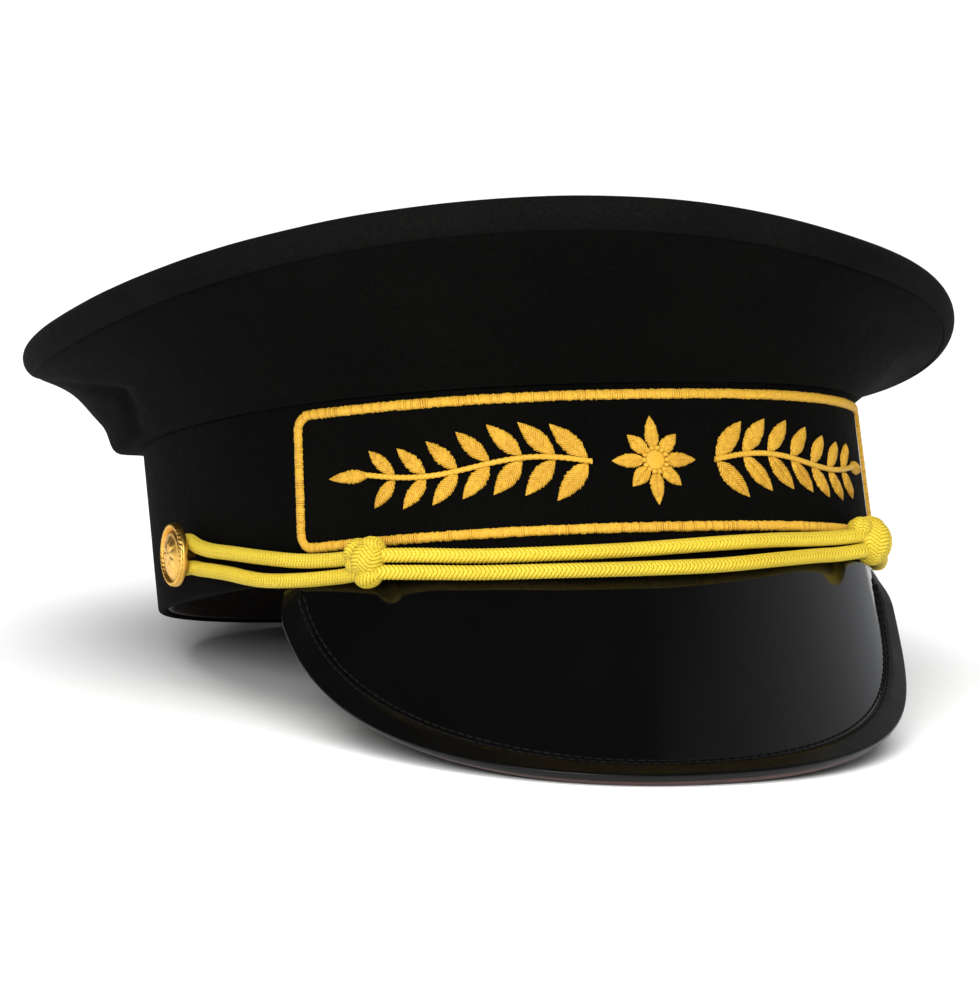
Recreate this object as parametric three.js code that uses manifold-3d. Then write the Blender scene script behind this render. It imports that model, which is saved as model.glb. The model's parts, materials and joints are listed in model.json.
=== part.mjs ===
// A conductor's cap in millimetres: a stiff band with a flared soft crown, a steep glossy peak,
// gold embroidery on the front of the band and a two-strand chin cord held by two buttons.
// In the cap's own frame +Z is up from the rim, -Y is the front and +X is the wearer's left.
// The whole cap is then leaned back until the peak and the back of the rim touch the floor.
import * as THREE from 'three';
import { mergeVertices } from 'three/addons/utils/BufferGeometryUtils.js';
import Module from 'manifold-3d';

const wasm = await Module();
wasm.setup();

// Clearance between two pieces that touch
const gap = 0.3;

// Band: a stiff wall that leans back as it rises
const bandHalfWidth = 86.5;
const bandHalfLength = 103;
const bandHeight = 43;
const bandWall = 2.2;
// Backward shift for each millimetre of height
const bandRake = 0.163;
// Power of the rim's outline, where 2 is an ellipse and more is squarer
const bandPower = 2.3;

// Sweatband inside the band
const sweatbandWall = 1.2;
const sweatbandHeight = 30;
const sweatbandRaise = 0.8;

// Crown: half sizes and heights are those of the middle of its rolled rim
const crownHalfWidth = 113.6;
const crownHalfLength = 129.5;
const crownSetBack = 9.5;
const crownRise = 27;
const crownFrontLift = 3;
const crownLean = 7.4;
const crownSaddle = 9;
const crownFrontPinch = 2;
const crownWall = 1.8;
const rollRadius = 4.6;
const topSag = 1.6;
const wallHollow = 1;
const footOverhang = 1.3;

// Peak
const peakHalfAngle = 59.4;
// Degrees by which the peak is set round to the wearer's right
const peakTurn = 4.8;
const peakDepth = 62.9;
const peakWall = 2;
const peakFrontSlope = 59.9;
const peakSideSlope = 62.5;
const peakForwardShare = 1.026;
const peakHollow = 2;
const peakShapePower = 1.91;
const peakCornerPower = 0.44;
const peakEndDepth = 2;

// Lip: the strip along the peak's edge, turned outward by an angle in degrees after a short bend
const lipWidth = 5.5;
const lipAngle = 22;
const lipBend = 2;
// Depth of the peak up to which the lip grows out of its two ends
const lipFade = 10;

// Binding folded over the lip
const bindingWall = 0.8;
const bindingDrop = 7;

// Embroidery: its lengths are measured round the band from the centre front
const stitchDepth = 0.9;
const borderHalfLength = 93.6;
const borderWidth = 2.5;
const borderCorner = 5;
const borderAboveRim = 6.4;
const borderBelowTop = 1.4;
const rosetteRadius = 11;
const rosetteHub = 3.2;
const petalWidth = 3.8;
const shortPetalShare = 0.82;
const sprigStart = 16;
const sprigLength = 68;
const sprigStemWidth = 1.3;
const sprigWave = 1.6;
const leafLength = 12.5;
const leafWidth = 5;
const leafAngle = 47;
// Share of a leaf's length at which it is widest, and share of size lost from the first leaf to the last
const leafBelly = 0.4;
const leafTaper = 0.3;

// Buttons
const buttonArc = 146;
const buttonHeight = 11.1;
const buttonRadius = 8;
const buttonRim = 1.8;
const buttonDome = 1;
const shankRadius = 1.2;

// Chin cord and its two knots, placed by arc from the centre front and height above the rim
const strandRadius = 1.8;
const knotWidth = 11.8;
const knotTall = 12.8;
const knotDepth = 9.5;
const rightKnotArc = -70.8;
const rightKnotHeight = 2.8;
const leftKnotArc = 62;
const leftKnotHeight = 4.6;
const knotApproach = 17;

// Facets
const roundSteps = 64;
// Shares of the crown wall's slant at its rows of points, closest where the bulge is
const wallShares = [0, 0.12, 0.3, 0.62, 1];
const peakSteps = 38;
const rollSteps = 5;
const strandSides = 8;
const strandStep = 10;
const borderSteps = 80;
const outlineSteps = 3;
const buttonSteps = 20;
const knotSteps = 12;
const knotRows = 8;

// Colours
const felt = { color: 0x121110, roughness: 0.92, metalness: 0 };
const lining = { color: 0x1d1713, roughness: 0.85, metalness: 0 };
const patent = { color: 0x0b0b0c, roughness: 0.16, metalness: 0 };
const goldThread = { color: 0xe2a92a, roughness: 0.5, metalness: 0 };
const yellowCord = { color: 0xe6cf2e, roughness: 0.6, metalness: 0 };
const brass = { color: 0xd9a441, roughness: 0.3, metalness: 1 };

// Dents in the crown's side wall. Angles are in degrees from the centre front, to the wearer's left.
// at and spread are shares of the wall's slant height, and depth is a share of the rolled rim's radius.
// A dent with a negative depth is a bulge.
const crownDents = [
  { angle: -118, halfAngle: 17, at: 0.1, spread: 0.12, depth: -2.2 },
  { angle: -112, halfAngle: 15, at: 0.85, spread: 0.3, depth: 0.4 },
  { angle: -84, halfAngle: 26, at: 0.7, spread: 0.3, depth: 0.22 },
  { angle: 44, halfAngle: 15, at: 0.62, spread: 0.3, depth: 0.26 },
  { angle: 150, halfAngle: 22, at: 0.5, spread: 0.4, depth: 0.3 },
];

// Places where the crown's rim is pushed up or down, each by a share of the rolled rim's radius
const rimPushes = [
  { angle: 28, halfAngle: 19, lift: -0.38 },
  { angle: 96, halfAngle: 40, lift: 0.72 },
];

// Lobes of the two knots: sizes and offsets are shares of the knot's width, height and depth
const rightLobes = [
  { width: 1, tall: 0.88, depth: 1, sideways: 0, raise: 0.1 },
  { width: 0.66, tall: 0.6, depth: 0.8, sideways: 0.04, raise: -0.34 },
];
const leftLobes = [
  { width: 1.06, tall: 1, depth: 1, sideways: 0, raise: 0.02 },
  { width: 0.6, tall: 0.6, depth: 0.8, sideways: -0.22, raise: -0.24 },
];

// Route of the upper strand, as chosen points: arc from the centre front and height above the rim
const upperRoute = [
  [-131, 10.8], [-120.8, 9.2], [-105.4, 6.6],
  [-92.8, 4.7], [-81, 3.9], [-70.8, 3.9], [-61, 3.4], [-45.6, 2.2], [-27.1, 1.8], [-8.1, 2.1],
  [12.4, 3.1], [29.4, 3.9], [42, 4.3], [51, 4.8], [60.6, 5.6], [71, 5.5], [82, 4.9], [92.8, 5.1],
  [105.4, 6.6], [120.8, 9.2], [131, 10.8],
];

// Route of the lower strand, in the same way
const lowerRoute = [
  [-130.8, 5.6], [-121.4, 4], [-113.5, 2.3],
  [-106, 1], [-93.2, 0], [-81, -0.3], [-70.8, -0.2], [-61, -0.8], [-46, -1.9], [-27.6, -2.5],
  [-8.7, -2.7], [11.7, -2.3], [28.5, -1], [42, 0.1], [51, 0.7], [60.6, 1.5], [71, 1.5], [82, 0.6],
  [93.2, 0.4], [106, 1], [113.5, 2.3], [121.4, 4], [130.8, 5.6],
];

// Ends of the strands at the wearer's left button: further round from its middle, and above it
const upperEnd = [{ further: -7.7, above: 1.4 }, { further: -2, above: 3.3 }, { further: 2.5, above: 3.4 }];
const lowerEnd = [{ further: -9, above: -4.6 }, { further: -2, above: -3.5 }, { further: 2.5, above: -3.4 }];
// Least length round the band between a chosen point and a strand's end
const routeStep = 5;

const toRadians = THREE.MathUtils.degToRad;
const up = new THREE.Vector3(0, 0, 1);

// Signed power, for the rim's squarish outline
function signedPower(value, power) {
  return Math.sign(value) * Math.abs(value) ** power;
}

// Outward direction of the band at an angle from the centre front
function bandOutward(angle) {
  const power = 2 * (bandPower - 1) / bandPower;
  const x = signedPower(Math.sin(angle), power) / bandHalfWidth;
  const y = -signedPower(Math.cos(angle), power) / bandHalfLength;
  return new THREE.Vector3(x, y, 0).normalize();
}

// Point on the band's outer face, moved outward by a distance
function bandPoint(angle, height, outward = 0) {
  const power = 2 / bandPower;
  const x = bandHalfWidth * signedPower(Math.sin(angle), power);
  const y = -bandHalfLength * signedPower(Math.cos(angle), power) + bandRake * height;
  return new THREE.Vector3(x, y, height).addScaledVector(bandOutward(angle), outward);
}

// Angles and running lengths round half of the rim, to turn an arc length into an angle
const arcSamples = 720;
const arcLengths = [0];
for (let i = 1; i <= arcSamples; i += 1) {
  const before = bandPoint(Math.PI * (i - 1) / arcSamples, 0);
  const after = bandPoint(Math.PI * i / arcSamples, 0);
  arcLengths.push(arcLengths[i - 1] + before.distanceTo(after));
}

// Angle at which an arc length from the centre front ends
function angleAtArc(arc) {
  const length = Math.abs(arc);
  let index = 1;
  while (index < arcSamples && arcLengths[index] < length) {
    index += 1;
  }
  const span = arcLengths[index] - arcLengths[index - 1];
  const share = (length - arcLengths[index - 1]) / span;
  return Math.sign(arc) * Math.PI * (index - 1 + share) / arcSamples;
}

// Point over the band's outer face by arc length, height and distance from the face
function overBand(arc, height, outward) {
  return bandPoint(angleAtArc(arc), height, outward);
}

// A closed mesh from points and triangles, turned so that its faces point out
function closedGeometry(points, triangles) {
  let volume = 0;
  for (let i = 0; i < triangles.length; i += 3) {
    const [a, b, c] = [points[triangles[i]], points[triangles[i + 1]], points[triangles[i + 2]]];
    volume += a.dot(new THREE.Vector3().crossVectors(b, c));
  }
  const facing = volume < 0 ? [...triangles].reverse() : triangles;
  const geometry = new THREE.BufferGeometry();
  geometry.setAttribute('position', new THREE.Float32BufferAttribute(points.flatMap((p) => p.toArray()), 3));
  geometry.setIndex(facing);
  geometry.computeVertexNormals();
  return geometry;
}

// The same for a geometry made by one of the library's shapes
function welded(geometry) {
  const plain = geometry.clone();
  plain.deleteAttribute('normal');
  plain.deleteAttribute('uv');
  const merged = mergeVertices(plain, 1e-4);
  const position = merged.getAttribute('position');
  const points = [];
  for (let i = 0; i < position.count; i += 1) {
    points.push(new THREE.Vector3().fromBufferAttribute(position, i));
  }
  const index = merged.getIndex().array;
  const triangles = [];
  for (let i = 0; i < index.length; i += 3) {
    const [a, b, c] = [index[i], index[i + 1], index[i + 2]];
    if (a !== b && b !== c && c !== a) {
      triangles.push(a, b, c);
    }
  }
  return closedGeometry(points, triangles);
}

// Two triangles for each patch between two rows of equal length
function joinRows(first, second, count, closed, triangles) {
  const last = closed ? count : count - 1;
  for (let i = 0; i < last; i += 1) {
    const next = (i + 1) % count;
    triangles.push(first + i, first + next, second + i, first + next, second + next, second + i);
  }
}

// A ring from closed rows that run round it, where the last row joins the first
function ringSolid(rows) {
  const count = rows[0].length;
  const triangles = [];
  rows.forEach((row, i) => joinRows(i * count, ((i + 1) % rows.length) * count, count, true, triangles));
  return closedGeometry(rows.flat(), triangles);
}

// A disc from closed rows that run round it, closed by a point before the first row and after the last
function discSolid(firstPoint, rows, lastPoint) {
  const count = rows[0].length;
  const points = [...rows.flat(), firstPoint, lastPoint];
  const firstIndex = rows.length * count;
  const lastRow = (rows.length - 1) * count;
  const triangles = [];
  for (let i = 1; i < rows.length; i += 1) {
    joinRows((i - 1) * count, i * count, count, true, triangles);
  }
  for (let i = 0; i < count; i += 1) {
    const next = (i + 1) % count;
    triangles.push(firstIndex, next, i, firstIndex + 1, lastRow + i, lastRow + next);
  }
  return closedGeometry(points, triangles);
}

// A bar from closed sections along it. Each section is an outer path followed by the inner path back.
function barSolid(sections) {
  const count = sections[0].length;
  const triangles = [];
  for (let i = 1; i < sections.length; i += 1) {
    joinRows((i - 1) * count, i * count, count, true, triangles);
  }
  const start = (sections.length - 1) * count;
  for (let i = 0; i < count / 2 - 1; i += 1) {
    const [a, b, c, d] = [i, i + 1, count - 2 - i, count - 1 - i];
    triangles.push(a, c, b, a, d, c, start + a, start + b, start + c, start + a, start + c, start + d);
  }
  return closedGeometry(sections.flat(), triangles);
}

// A solid of the joining and cutting library, from a closed mesh
function toSolid(geometry) {
  const position = geometry.getAttribute('position').array;
  const vertProperties = new Float32Array(position);
  const triVerts = new Uint32Array(geometry.getIndex().array);
  return new wasm.Manifold(new wasm.Mesh({ numProp: 3, vertProperties, triVerts }));
}

// A closed mesh from such a solid
function fromSolid(solid) {
  const mesh = solid.getMesh();
  const points = [];
  for (let i = 0; i < mesh.vertProperties.length; i += mesh.numProp) {
    points.push(new THREE.Vector3(...mesh.vertProperties.slice(i, i + 3)));
  }
  return closedGeometry(points, Array.from(mesh.triVerts));
}

// One solid from several closed meshes
function joined(geometries) {
  return geometries.map(toSolid).reduce((sum, solid) => sum.add(solid));
}

// Angles of the facets round the cap
const roundAngles = Array.from({ length: roundSteps }, (_, i) => 2 * Math.PI * i / roundSteps);

// A row of points round the cap from a function of the angle
function roundRow(pointAt) {
  return roundAngles.map(pointAt);
}

// Band and sweatband: a wall between two heights and two distances from the band's outer face
function bandRing(low, high, outerFace, innerFace) {
  return ringSolid([
    roundRow((angle) => bandPoint(angle, low, outerFace)),
    roundRow((angle) => bandPoint(angle, high, outerFace)),
    roundRow((angle) => bandPoint(angle, high, innerFace)),
    roundRow((angle) => bandPoint(angle, low, innerFace)),
  ]);
}

// Nearness of an angle to a place with an angle and a half angle in degrees, from 1 at it to 0
function nearness(angle, place) {
  const away = angle - toRadians(place.angle);
  const turn = Math.atan2(Math.sin(away), Math.cos(away));
  return Math.exp(-((turn / toRadians(place.halfAngle)) ** 2));
}

// Height of the crown's taut top over the rim's plane, from its centre at 0 to its rolled rim at 1
function crownHeight(angle, share) {
  const slope = share * (crownFrontLift * Math.cos(angle) - crownLean * Math.sin(angle));
  const saddle = share ** 2 * crownSaddle * Math.cos(2 * angle);
  const pinch = -(share ** 3) * crownFrontPinch * Math.cos(3 * angle);
  const lift = rimPushes.reduce((sum, each) => sum + each.lift * nearness(angle, each), 0);
  const push = share ** 3 * rollRadius * lift;
  return bandHeight + crownRise + slope + saddle + pinch + push;
}

// Point under or over the crown's top, at a share of the way from its centre to its rolled rim
function crownPoint(angle, share, above = 0) {
  const x = share * crownHalfWidth * Math.sin(angle);
  const y = crownSetBack - share * crownHalfLength * Math.cos(angle);
  return new THREE.Vector3(x, y, crownHeight(angle, share) + above);
}

// Outward direction of the crown's rim
function crownOutward(angle) {
  const x = Math.sin(angle) / crownHalfWidth;
  const y = -Math.cos(angle) / crownHalfLength;
  return new THREE.Vector3(x, y, 0).normalize();
}

// How deep the dents are at an angle and a share of the wall's slant height
function dentDepth(angle, share) {
  let depth = 0;
  for (const dent of crownDents) {
    const along = Math.exp(-(((share - dent.at) / dent.spread) ** 2));
    depth += dent.depth * rollRadius * nearness(angle, dent) * along;
  }
  return depth * Math.sin(Math.PI * share);
}

// The wall's section at an angle: a straight slant from the foot that meets the rolled rim as a tangent
function crownSection(angle) {
  const foot = bandPoint(angle, bandHeight + gap, footOverhang);
  const centre = crownPoint(angle, 1);
  const outward = crownOutward(angle);
  const across = centre.clone().sub(foot);
  const run = across.dot(outward);
  const rise = across.z;
  const sideways = across.clone().addScaledVector(outward, -run).setZ(0);
  const reach = Math.hypot(run, rise);
  const slant = Math.atan2(rise, run) - Math.asin(Math.min(1, rollRadius / reach));
  const length = Math.sqrt(Math.max(0, reach ** 2 - rollRadius ** 2));
  return { foot, centre, outward, sideways, slant, length };
}

// Point of the wall at a share of its slant, inside its outer face by a depth
function crownWallPoint(angle, share, depth) {
  const section = crownSection(angle);
  const inward = depth + dentDepth(angle, share) + wallHollow * Math.sin(Math.PI * share);
  const along = section.length * share;
  const run = along * Math.cos(section.slant) - inward * Math.sin(section.slant);
  const rise = along * Math.sin(section.slant) + inward * Math.cos(section.slant);
  return section.foot.clone()
    .addScaledVector(section.outward, run)
    .addScaledVector(section.sideways, share)
    .addScaledVector(up, rise);
}

// Least sine of the wall's slant that its foot's width is worked out for
const leastSlant = 0.4;

// Crown side: the flared wall from the band's top to the rolled rim
function crownSide() {
  // The last share stops short of the rim's seam by the clearance
  const edgeShare = (angle, share) => share * (1 - gap / crownSection(angle).length);
  const wallRow = (share, depth) => roundRow((angle) => crownWallPoint(angle, edgeShare(angle, share), depth));
  const outer = wallShares.map((share) => wallRow(share, 0));
  const inner = wallShares.map((share) => wallRow(share, crownWall));
  // The foot's inner corner is level with its outer one, so that the foot sits flat on the band
  inner[0] = roundRow((angle) => {
    const section = crownSection(angle);
    const slantWidth = crownWall / Math.max(Math.sin(section.slant), leastSlant);
    return section.foot.clone().addScaledVector(section.outward, -slantWidth);
  });
  return ringSolid([...outer, ...inner.reverse()]);
}

// Crown top: the taut top cloth with its edge rolled over and under
function crownTop() {
  const rollRow = (step, radius) => roundRow((angle) => {
    const section = crownSection(angle);
    const start = section.slant - Math.PI / 2;
    const turn = start + (Math.PI / 2 - start) * step / rollSteps;
    return section.centre.clone()
      .addScaledVector(section.outward, radius * Math.cos(turn))
      .addScaledVector(up, radius * Math.sin(turn));
  });
  const topRow = (share, radius) => {
    const above = radius - topSag * (1 - share ** 2);
    return roundRow((angle) => crownPoint(angle, share, above));
  };
  const topShares = [0.8, 0.42];
  const innerRadius = rollRadius - crownWall;
  const outer = [];
  const inner = [];
  for (let step = 0; step <= rollSteps; step += 1) {
    outer.push(rollRow(step, rollRadius));
    inner.push(rollRow(step, innerRadius));
  }
  for (const share of topShares) {
    outer.push(topRow(share, rollRadius));
    inner.push(topRow(share, innerRadius));
  }
  return discSolid(
    crownPoint(0, 0, rollRadius - topSag),
    [...outer.reverse(), ...inner],
    crownPoint(0, 0, innerRadius - topSag),
  );
}

// Depth of the peak at an angle, from the rim down to its edge
function peakDepthAt(angle) {
  const share = Math.min(1, Math.abs(angle) / toRadians(peakHalfAngle));
  return peakEndDepth + (peakDepth - peakEndDepth) * (1 - share ** peakShapePower) ** peakCornerPower;
}

// Slope of the peak below the rim's plane at an angle from the peak's own middle
function peakSlope(angle) {
  const share = angle / toRadians(peakHalfAngle);
  return toRadians(peakFrontSlope + (peakSideSlope - peakFrontSlope) * share ** 2);
}

// Point on the peak's upper face at an angle from its own middle and a distance down from the rim
function peakPoint(angle, down) {
  const slope = peakSlope(angle);
  const ahead = bandOutward(angle).multiplyScalar(1 - peakForwardShare);
  ahead.y -= peakForwardShare;
  ahead.normalize();
  const hollow = 4 * peakHollow * (down / peakDepth) * (1 - down / peakDepth);
  const run = down * Math.cos(slope) - hollow * Math.sin(slope);
  const drop = down * Math.sin(slope) + hollow * Math.cos(slope);
  const seat = bandPoint(angle - toRadians(peakTurn), 0);
  return seat.addScaledVector(ahead, run).addScaledVector(up, -gap - drop);
}

// Small steps for the peak's tangents
const angleStep = 1e-3;
const downStep = 0.1;

// Tangents of the peak's upper face, and its outward normal
function peakTangents(angle, down) {
  const round = peakPoint(angle + angleStep, down).sub(peakPoint(angle - angleStep, down));
  const along = peakPoint(angle, down + downStep).sub(peakPoint(angle, down - downStep));
  round.divideScalar(2 * angleStep);
  along.divideScalar(2 * downStep);
  const normal = new THREE.Vector3().crossVectors(along, round).normalize();
  return { round, along, normal };
}

// Point off the peak's upper face by a distance, to its inside where that is negative
function offPeak(angle, down, outward) {
  return peakPoint(angle, down).addScaledVector(peakTangents(angle, down).normal, outward);
}

// Angles of the peak's sections, evenly spaced along its edge
function peakAngles() {
  const fine = 2000;
  const angles = [];
  const lengths = [0];
  for (let i = 0; i <= fine; i += 1) {
    const angle = toRadians(peakHalfAngle) * Math.sin(Math.PI * (i / fine - 0.5));
    angles.push(angle);
    if (i > 0) {
      const before = peakPoint(angles[i - 1], peakDepthAt(angles[i - 1]));
      lengths.push(lengths[i - 1] + before.distanceTo(peakPoint(angle, peakDepthAt(angle))));
    }
  }
  const chosen = [];
  for (let i = 0; i <= peakSteps; i += 1) {
    const target = lengths[fine] * i / peakSteps;
    const index = lengths.findIndex((length) => length >= target - 1e-9);
    chosen.push(angles[index]);
  }
  return chosen;
}

const edgeAngles = peakAngles();

// Angle and distance down of the point that lies inside the peak's edge by a distance
function insideEdge(angle, inset) {
  const depth = peakDepthAt(angle);
  const nudge = 1e-4;
  const before = peakPoint(angle - nudge, peakDepthAt(angle - nudge));
  const after = peakPoint(angle + nudge, peakDepthAt(angle + nudge));
  const edge = peakPoint(angle, depth);
  const tangents = peakTangents(angle, depth);
  const inward = new THREE.Vector3().crossVectors(tangents.normal, after.sub(before)).normalize();
  const target = edge.clone().addScaledVector(inward, inset);
  let place = { angle, down: depth };
  for (let round = 0; round < 4; round += 1) {
    const away = target.clone().sub(peakPoint(place.angle, place.down));
    const local = peakTangents(place.angle, place.down);
    const [rr, aa] = [local.round.lengthSq(), local.along.lengthSq()];
    const ra = local.round.dot(local.along);
    const [r, a] = [local.round.dot(away), local.along.dot(away)];
    const scale = rr * aa - ra * ra;
    place = { angle: place.angle + (r * aa - a * ra) / scale, down: place.down + (a * rr - r * ra) / scale };
  }
  return place;
}

// Start, bend and edge of the lip: angle, distance down, and how far it stands out of the plain face
function lipPath(angle) {
  const depth = peakDepthAt(angle);
  const share = Math.min(1, depth / lipFade);
  const rise = Math.tan(toRadians(lipAngle)) * share ** 2 * (3 - 2 * share);
  return [
    { ...insideEdge(angle, lipWidth), raised: 0 },
    { ...insideEdge(angle, lipWidth - lipBend), raised: rise * lipBend / 2 },
    { angle, down: depth, raised: rise * (lipWidth - lipBend / 2) },
  ];
}

// Peak: a sheet bent to the rim's front, with a lip along its edge
function peak() {
  const plainSteps = 3;
  const sections = edgeAngles.map((angle) => {
    const path = lipPath(angle);
    const start = path[0];
    for (let step = plainSteps - 1; step >= 0; step -= 1) {
      path.unshift({ angle: start.angle, down: start.down * step / plainSteps, raised: 0 });
    }
    const outer = path.map((place) => offPeak(place.angle, place.down, place.raised));
    const inner = path.map((place) => offPeak(place.angle, place.down, place.raised - peakWall));
    return [...outer, ...inner.reverse()];
  });
  return barSolid(sections);
}

// Binding: a strip folded over the lip, which ends short of the rim
function peakBinding() {
  const low = edgeAngles.filter((angle) => peakDepthAt(angle) > bindingDrop);
  const sections = low.map((angle) => {
    const faces = lipPath(angle);
    const [, bend, edge] = faces;
    const overLip = (place, outward) => offPeak(place.angle, place.down, place.raised + outward);
    const beyond = overLip(edge, 0).sub(overLip(bend, 0)).normalize();
    const path = (outerLift, innerLift, past) => [
      ...faces.map((face) => overLip(face, outerLift)),
      overLip(edge, outerLift / 2).addScaledVector(beyond, past),
      overLip(edge, (innerLift - peakWall) / 2).addScaledVector(beyond, past),
      ...[...faces].reverse().map((face) => overLip(face, innerLift)),
    ];
    const outer = path(gap + bindingWall, -peakWall - gap - bindingWall, gap + bindingWall);
    const inner = path(gap, -peakWall - gap, gap);
    return [...outer, ...inner.reverse()];
  });
  return barSolid(sections);
}

// Embroidered border: a rounded rectangle of thread, bent round the band
function panelBorder() {
  const low = borderAboveRim;
  const high = bandHeight - borderBelowTop;
  const outline = new THREE.Path();
  const halfLength = borderHalfLength - borderWidth / 2;
  const [bottom, top] = [low + borderWidth / 2, high - borderWidth / 2];
  const corner = Math.min(borderCorner, (top - bottom) / 2) - borderWidth / 2;
  outline.absarc(halfLength - corner, bottom + corner, corner, -Math.PI / 2, 0);
  outline.absarc(halfLength - corner, top - corner, corner, 0, Math.PI / 2);
  outline.absarc(-halfLength + corner, top - corner, corner, Math.PI / 2, Math.PI);
  outline.absarc(-halfLength + corner, bottom + corner, corner, Math.PI, 1.5 * Math.PI);
  outline.closePath();
  const middle = outline.getSpacedPoints(borderSteps).slice(0, borderSteps);
  const rows = [[], [], [], []];
  middle.forEach((point, i) => {
    const before = middle[(i + borderSteps - 1) % borderSteps];
    const after = middle[(i + 1) % borderSteps];
    const along = after.clone().sub(before).normalize();
    const side = new THREE.Vector2(along.y, -along.x).multiplyScalar(borderWidth / 2);
    const corners = [[1, gap], [1, gap + stitchDepth], [-1, gap + stitchDepth], [-1, gap]];
    corners.forEach(([sign, outward], row) => {
      rows[row].push(overBand(point.x + sign * side.x, point.y + sign * side.y, outward));
    });
  });
  return ringSolid(rows);
}

// Middle height of the embroidery
const motifHeight = (borderAboveRim + bandHeight - borderBelowTop) / 2;

// A flat outline of thread bent round the band, between two depths, placed from the motif's middle height
function bentThread(shape, turn, x, y, low, high) {
  const options = { depth: high - low, bevelEnabled: false, curveSegments: outlineSteps };
  const geometry = new THREE.ExtrudeGeometry(shape, options);
  geometry.rotateZ(turn);
  geometry.translate(x, motifHeight + y, gap + low);
  const position = geometry.getAttribute('position');
  for (let i = 0; i < position.count; i += 1) {
    position.setXYZ(i, ...overBand(position.getX(i), position.getY(i), position.getZ(i)).toArray());
  }
  return welded(geometry);
}

// A pointed leaf, from its base at a point along a direction
function leaf(x, y, length, width, direction) {
  const shape = new THREE.Shape();
  shape.moveTo(0, 0);
  shape.quadraticCurveTo(length * leafBelly, width, length, 0);
  shape.quadraticCurveTo(length * leafBelly, -width, 0, 0);
  return bentThread(shape, direction, x, y, 0, stitchDepth);
}

// Share of the embroidery's depth by which stems and hubs stay inside the leaves they carry
const stemInset = 0.15;

// Rosette of eight petals round a hub
function rosette() {
  const petals = 8;
  const root = 0.75 * rosetteHub;
  const shape = new THREE.Shape();
  shape.absarc(0, 0, rosetteHub, 0, 2 * Math.PI);
  const [low, high] = [stemInset * stitchDepth, (1 + stemInset) * stitchDepth];
  const pieces = [bentThread(shape, 0, 0, 0, low, high)];
  for (let i = 0; i < petals; i += 1) {
    const direction = 2 * Math.PI * i / petals + Math.PI / 2;
    const reach = i % 2 === 0 ? rosetteRadius : shortPetalShare * rosetteRadius;
    const [x, y] = [root * Math.cos(direction), root * Math.sin(direction)];
    pieces.push(leaf(x, y, reach - root, petalWidth, direction));
  }
  return fromSolid(joined(pieces));
}

// Sprig: a waved stem with pairs of leaves and one at its tip, to one side of the rosette
function sprig(side) {
  const pairs = 7;
  const stemSteps = 14;
  const tip = sprigLength - leafLength;
  const firstPair = 0.1 * tip / pairs;
  const leafRoot = 0.3 * sprigStemWidth;
  const stemHeight = (along) => sprigWave * Math.sin(2 * Math.PI * along / tip);
  const [low, high] = [stemInset * stitchDepth, (1 - stemInset) * stitchDepth];
  const sections = [];
  for (let i = 0; i <= stemSteps; i += 1) {
    const along = tip * i / stemSteps;
    const corner = (sign, depth) => overBand(
      side * (sprigStart + along),
      motifHeight + stemHeight(along) + sign * sprigStemWidth / 2,
      gap + depth,
    );
    sections.push([corner(-1, high), corner(1, high), corner(1, low), corner(-1, low)]);
  }
  const pieces = [barSolid(sections)];
  for (let pair = 0; pair < pairs; pair += 1) {
    const along = firstPair + tip * pair / pairs;
    const size = 1 - leafTaper * pair / pairs;
    for (const turn of [1, -1]) {
      const direction = turn * toRadians(leafAngle);
      const facing = side > 0 ? direction : Math.PI - direction;
      const [x, y] = [side * (sprigStart + along), stemHeight(along) + turn * leafRoot];
      pieces.push(leaf(x, y, leafLength * size, leafWidth * size, facing));
    }
  }
  const endFacing = side > 0 ? 0 : Math.PI;
  const endWidth = leafWidth * (1 - leafTaper);
  pieces.push(leaf(side * (sprigStart + tip - 1), stemHeight(tip), leafLength, endWidth, endFacing));
  return fromSolid(joined(pieces));
}

// Distance from the band's face at which a round strand clears both the band and the peak
function restingOffset(arc, height) {
  const angle = angleAtArc(arc);
  const peakAngle = angle + toRadians(peakTurn);
  const clear = strandRadius + gap;
  if (Math.abs(peakAngle) > toRadians(peakHalfAngle)) {
    return clear;
  }
  const slope = peakSlope(peakAngle);
  const outwardRun = Math.cos(slope) * Math.max(0, -bandOutward(angle).y);
  const drop = Math.sin(slope);
  const size = Math.hypot(outwardRun, drop);
  return Math.max(clear, (clear * size - (height + gap) * outwardRun) / drop);
}

// Distance of the knots' middle from the band's face, over the embroidery
const knotOffset = gap + stitchDepth + gap + knotDepth / 2;

// How far a strand is lifted towards a knot, from 0 away from both to 1 in a knot
function knotShare(arc) {
  const away = Math.min(Math.abs(arc - rightKnotArc), Math.abs(arc - leftKnotArc));
  const share = Math.max(0, 1 - away / knotApproach);
  return share * share * (3 - 2 * share);
}

// Middle line of a strand: its two ends at the buttons, and between them the chosen points clear of the ends
function strandCurve(route, end) {
  const left = end.map((place) => [buttonArc + place.further, buttonHeight + place.above]);
  const right = left.map(([arc, height]) => [-arc, height]).reverse();
  const chosen = route.filter(([arc]) => Math.abs(arc) < left[0][0] - routeStep);
  const points = [...right, ...chosen, ...left].map(([arc, height]) => {
    const resting = restingOffset(arc, height);
    return overBand(arc, height, resting + (knotOffset - resting) * knotShare(arc));
  });
  return new THREE.CatmullRomCurve3(points, false, 'centripetal');
}

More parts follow.
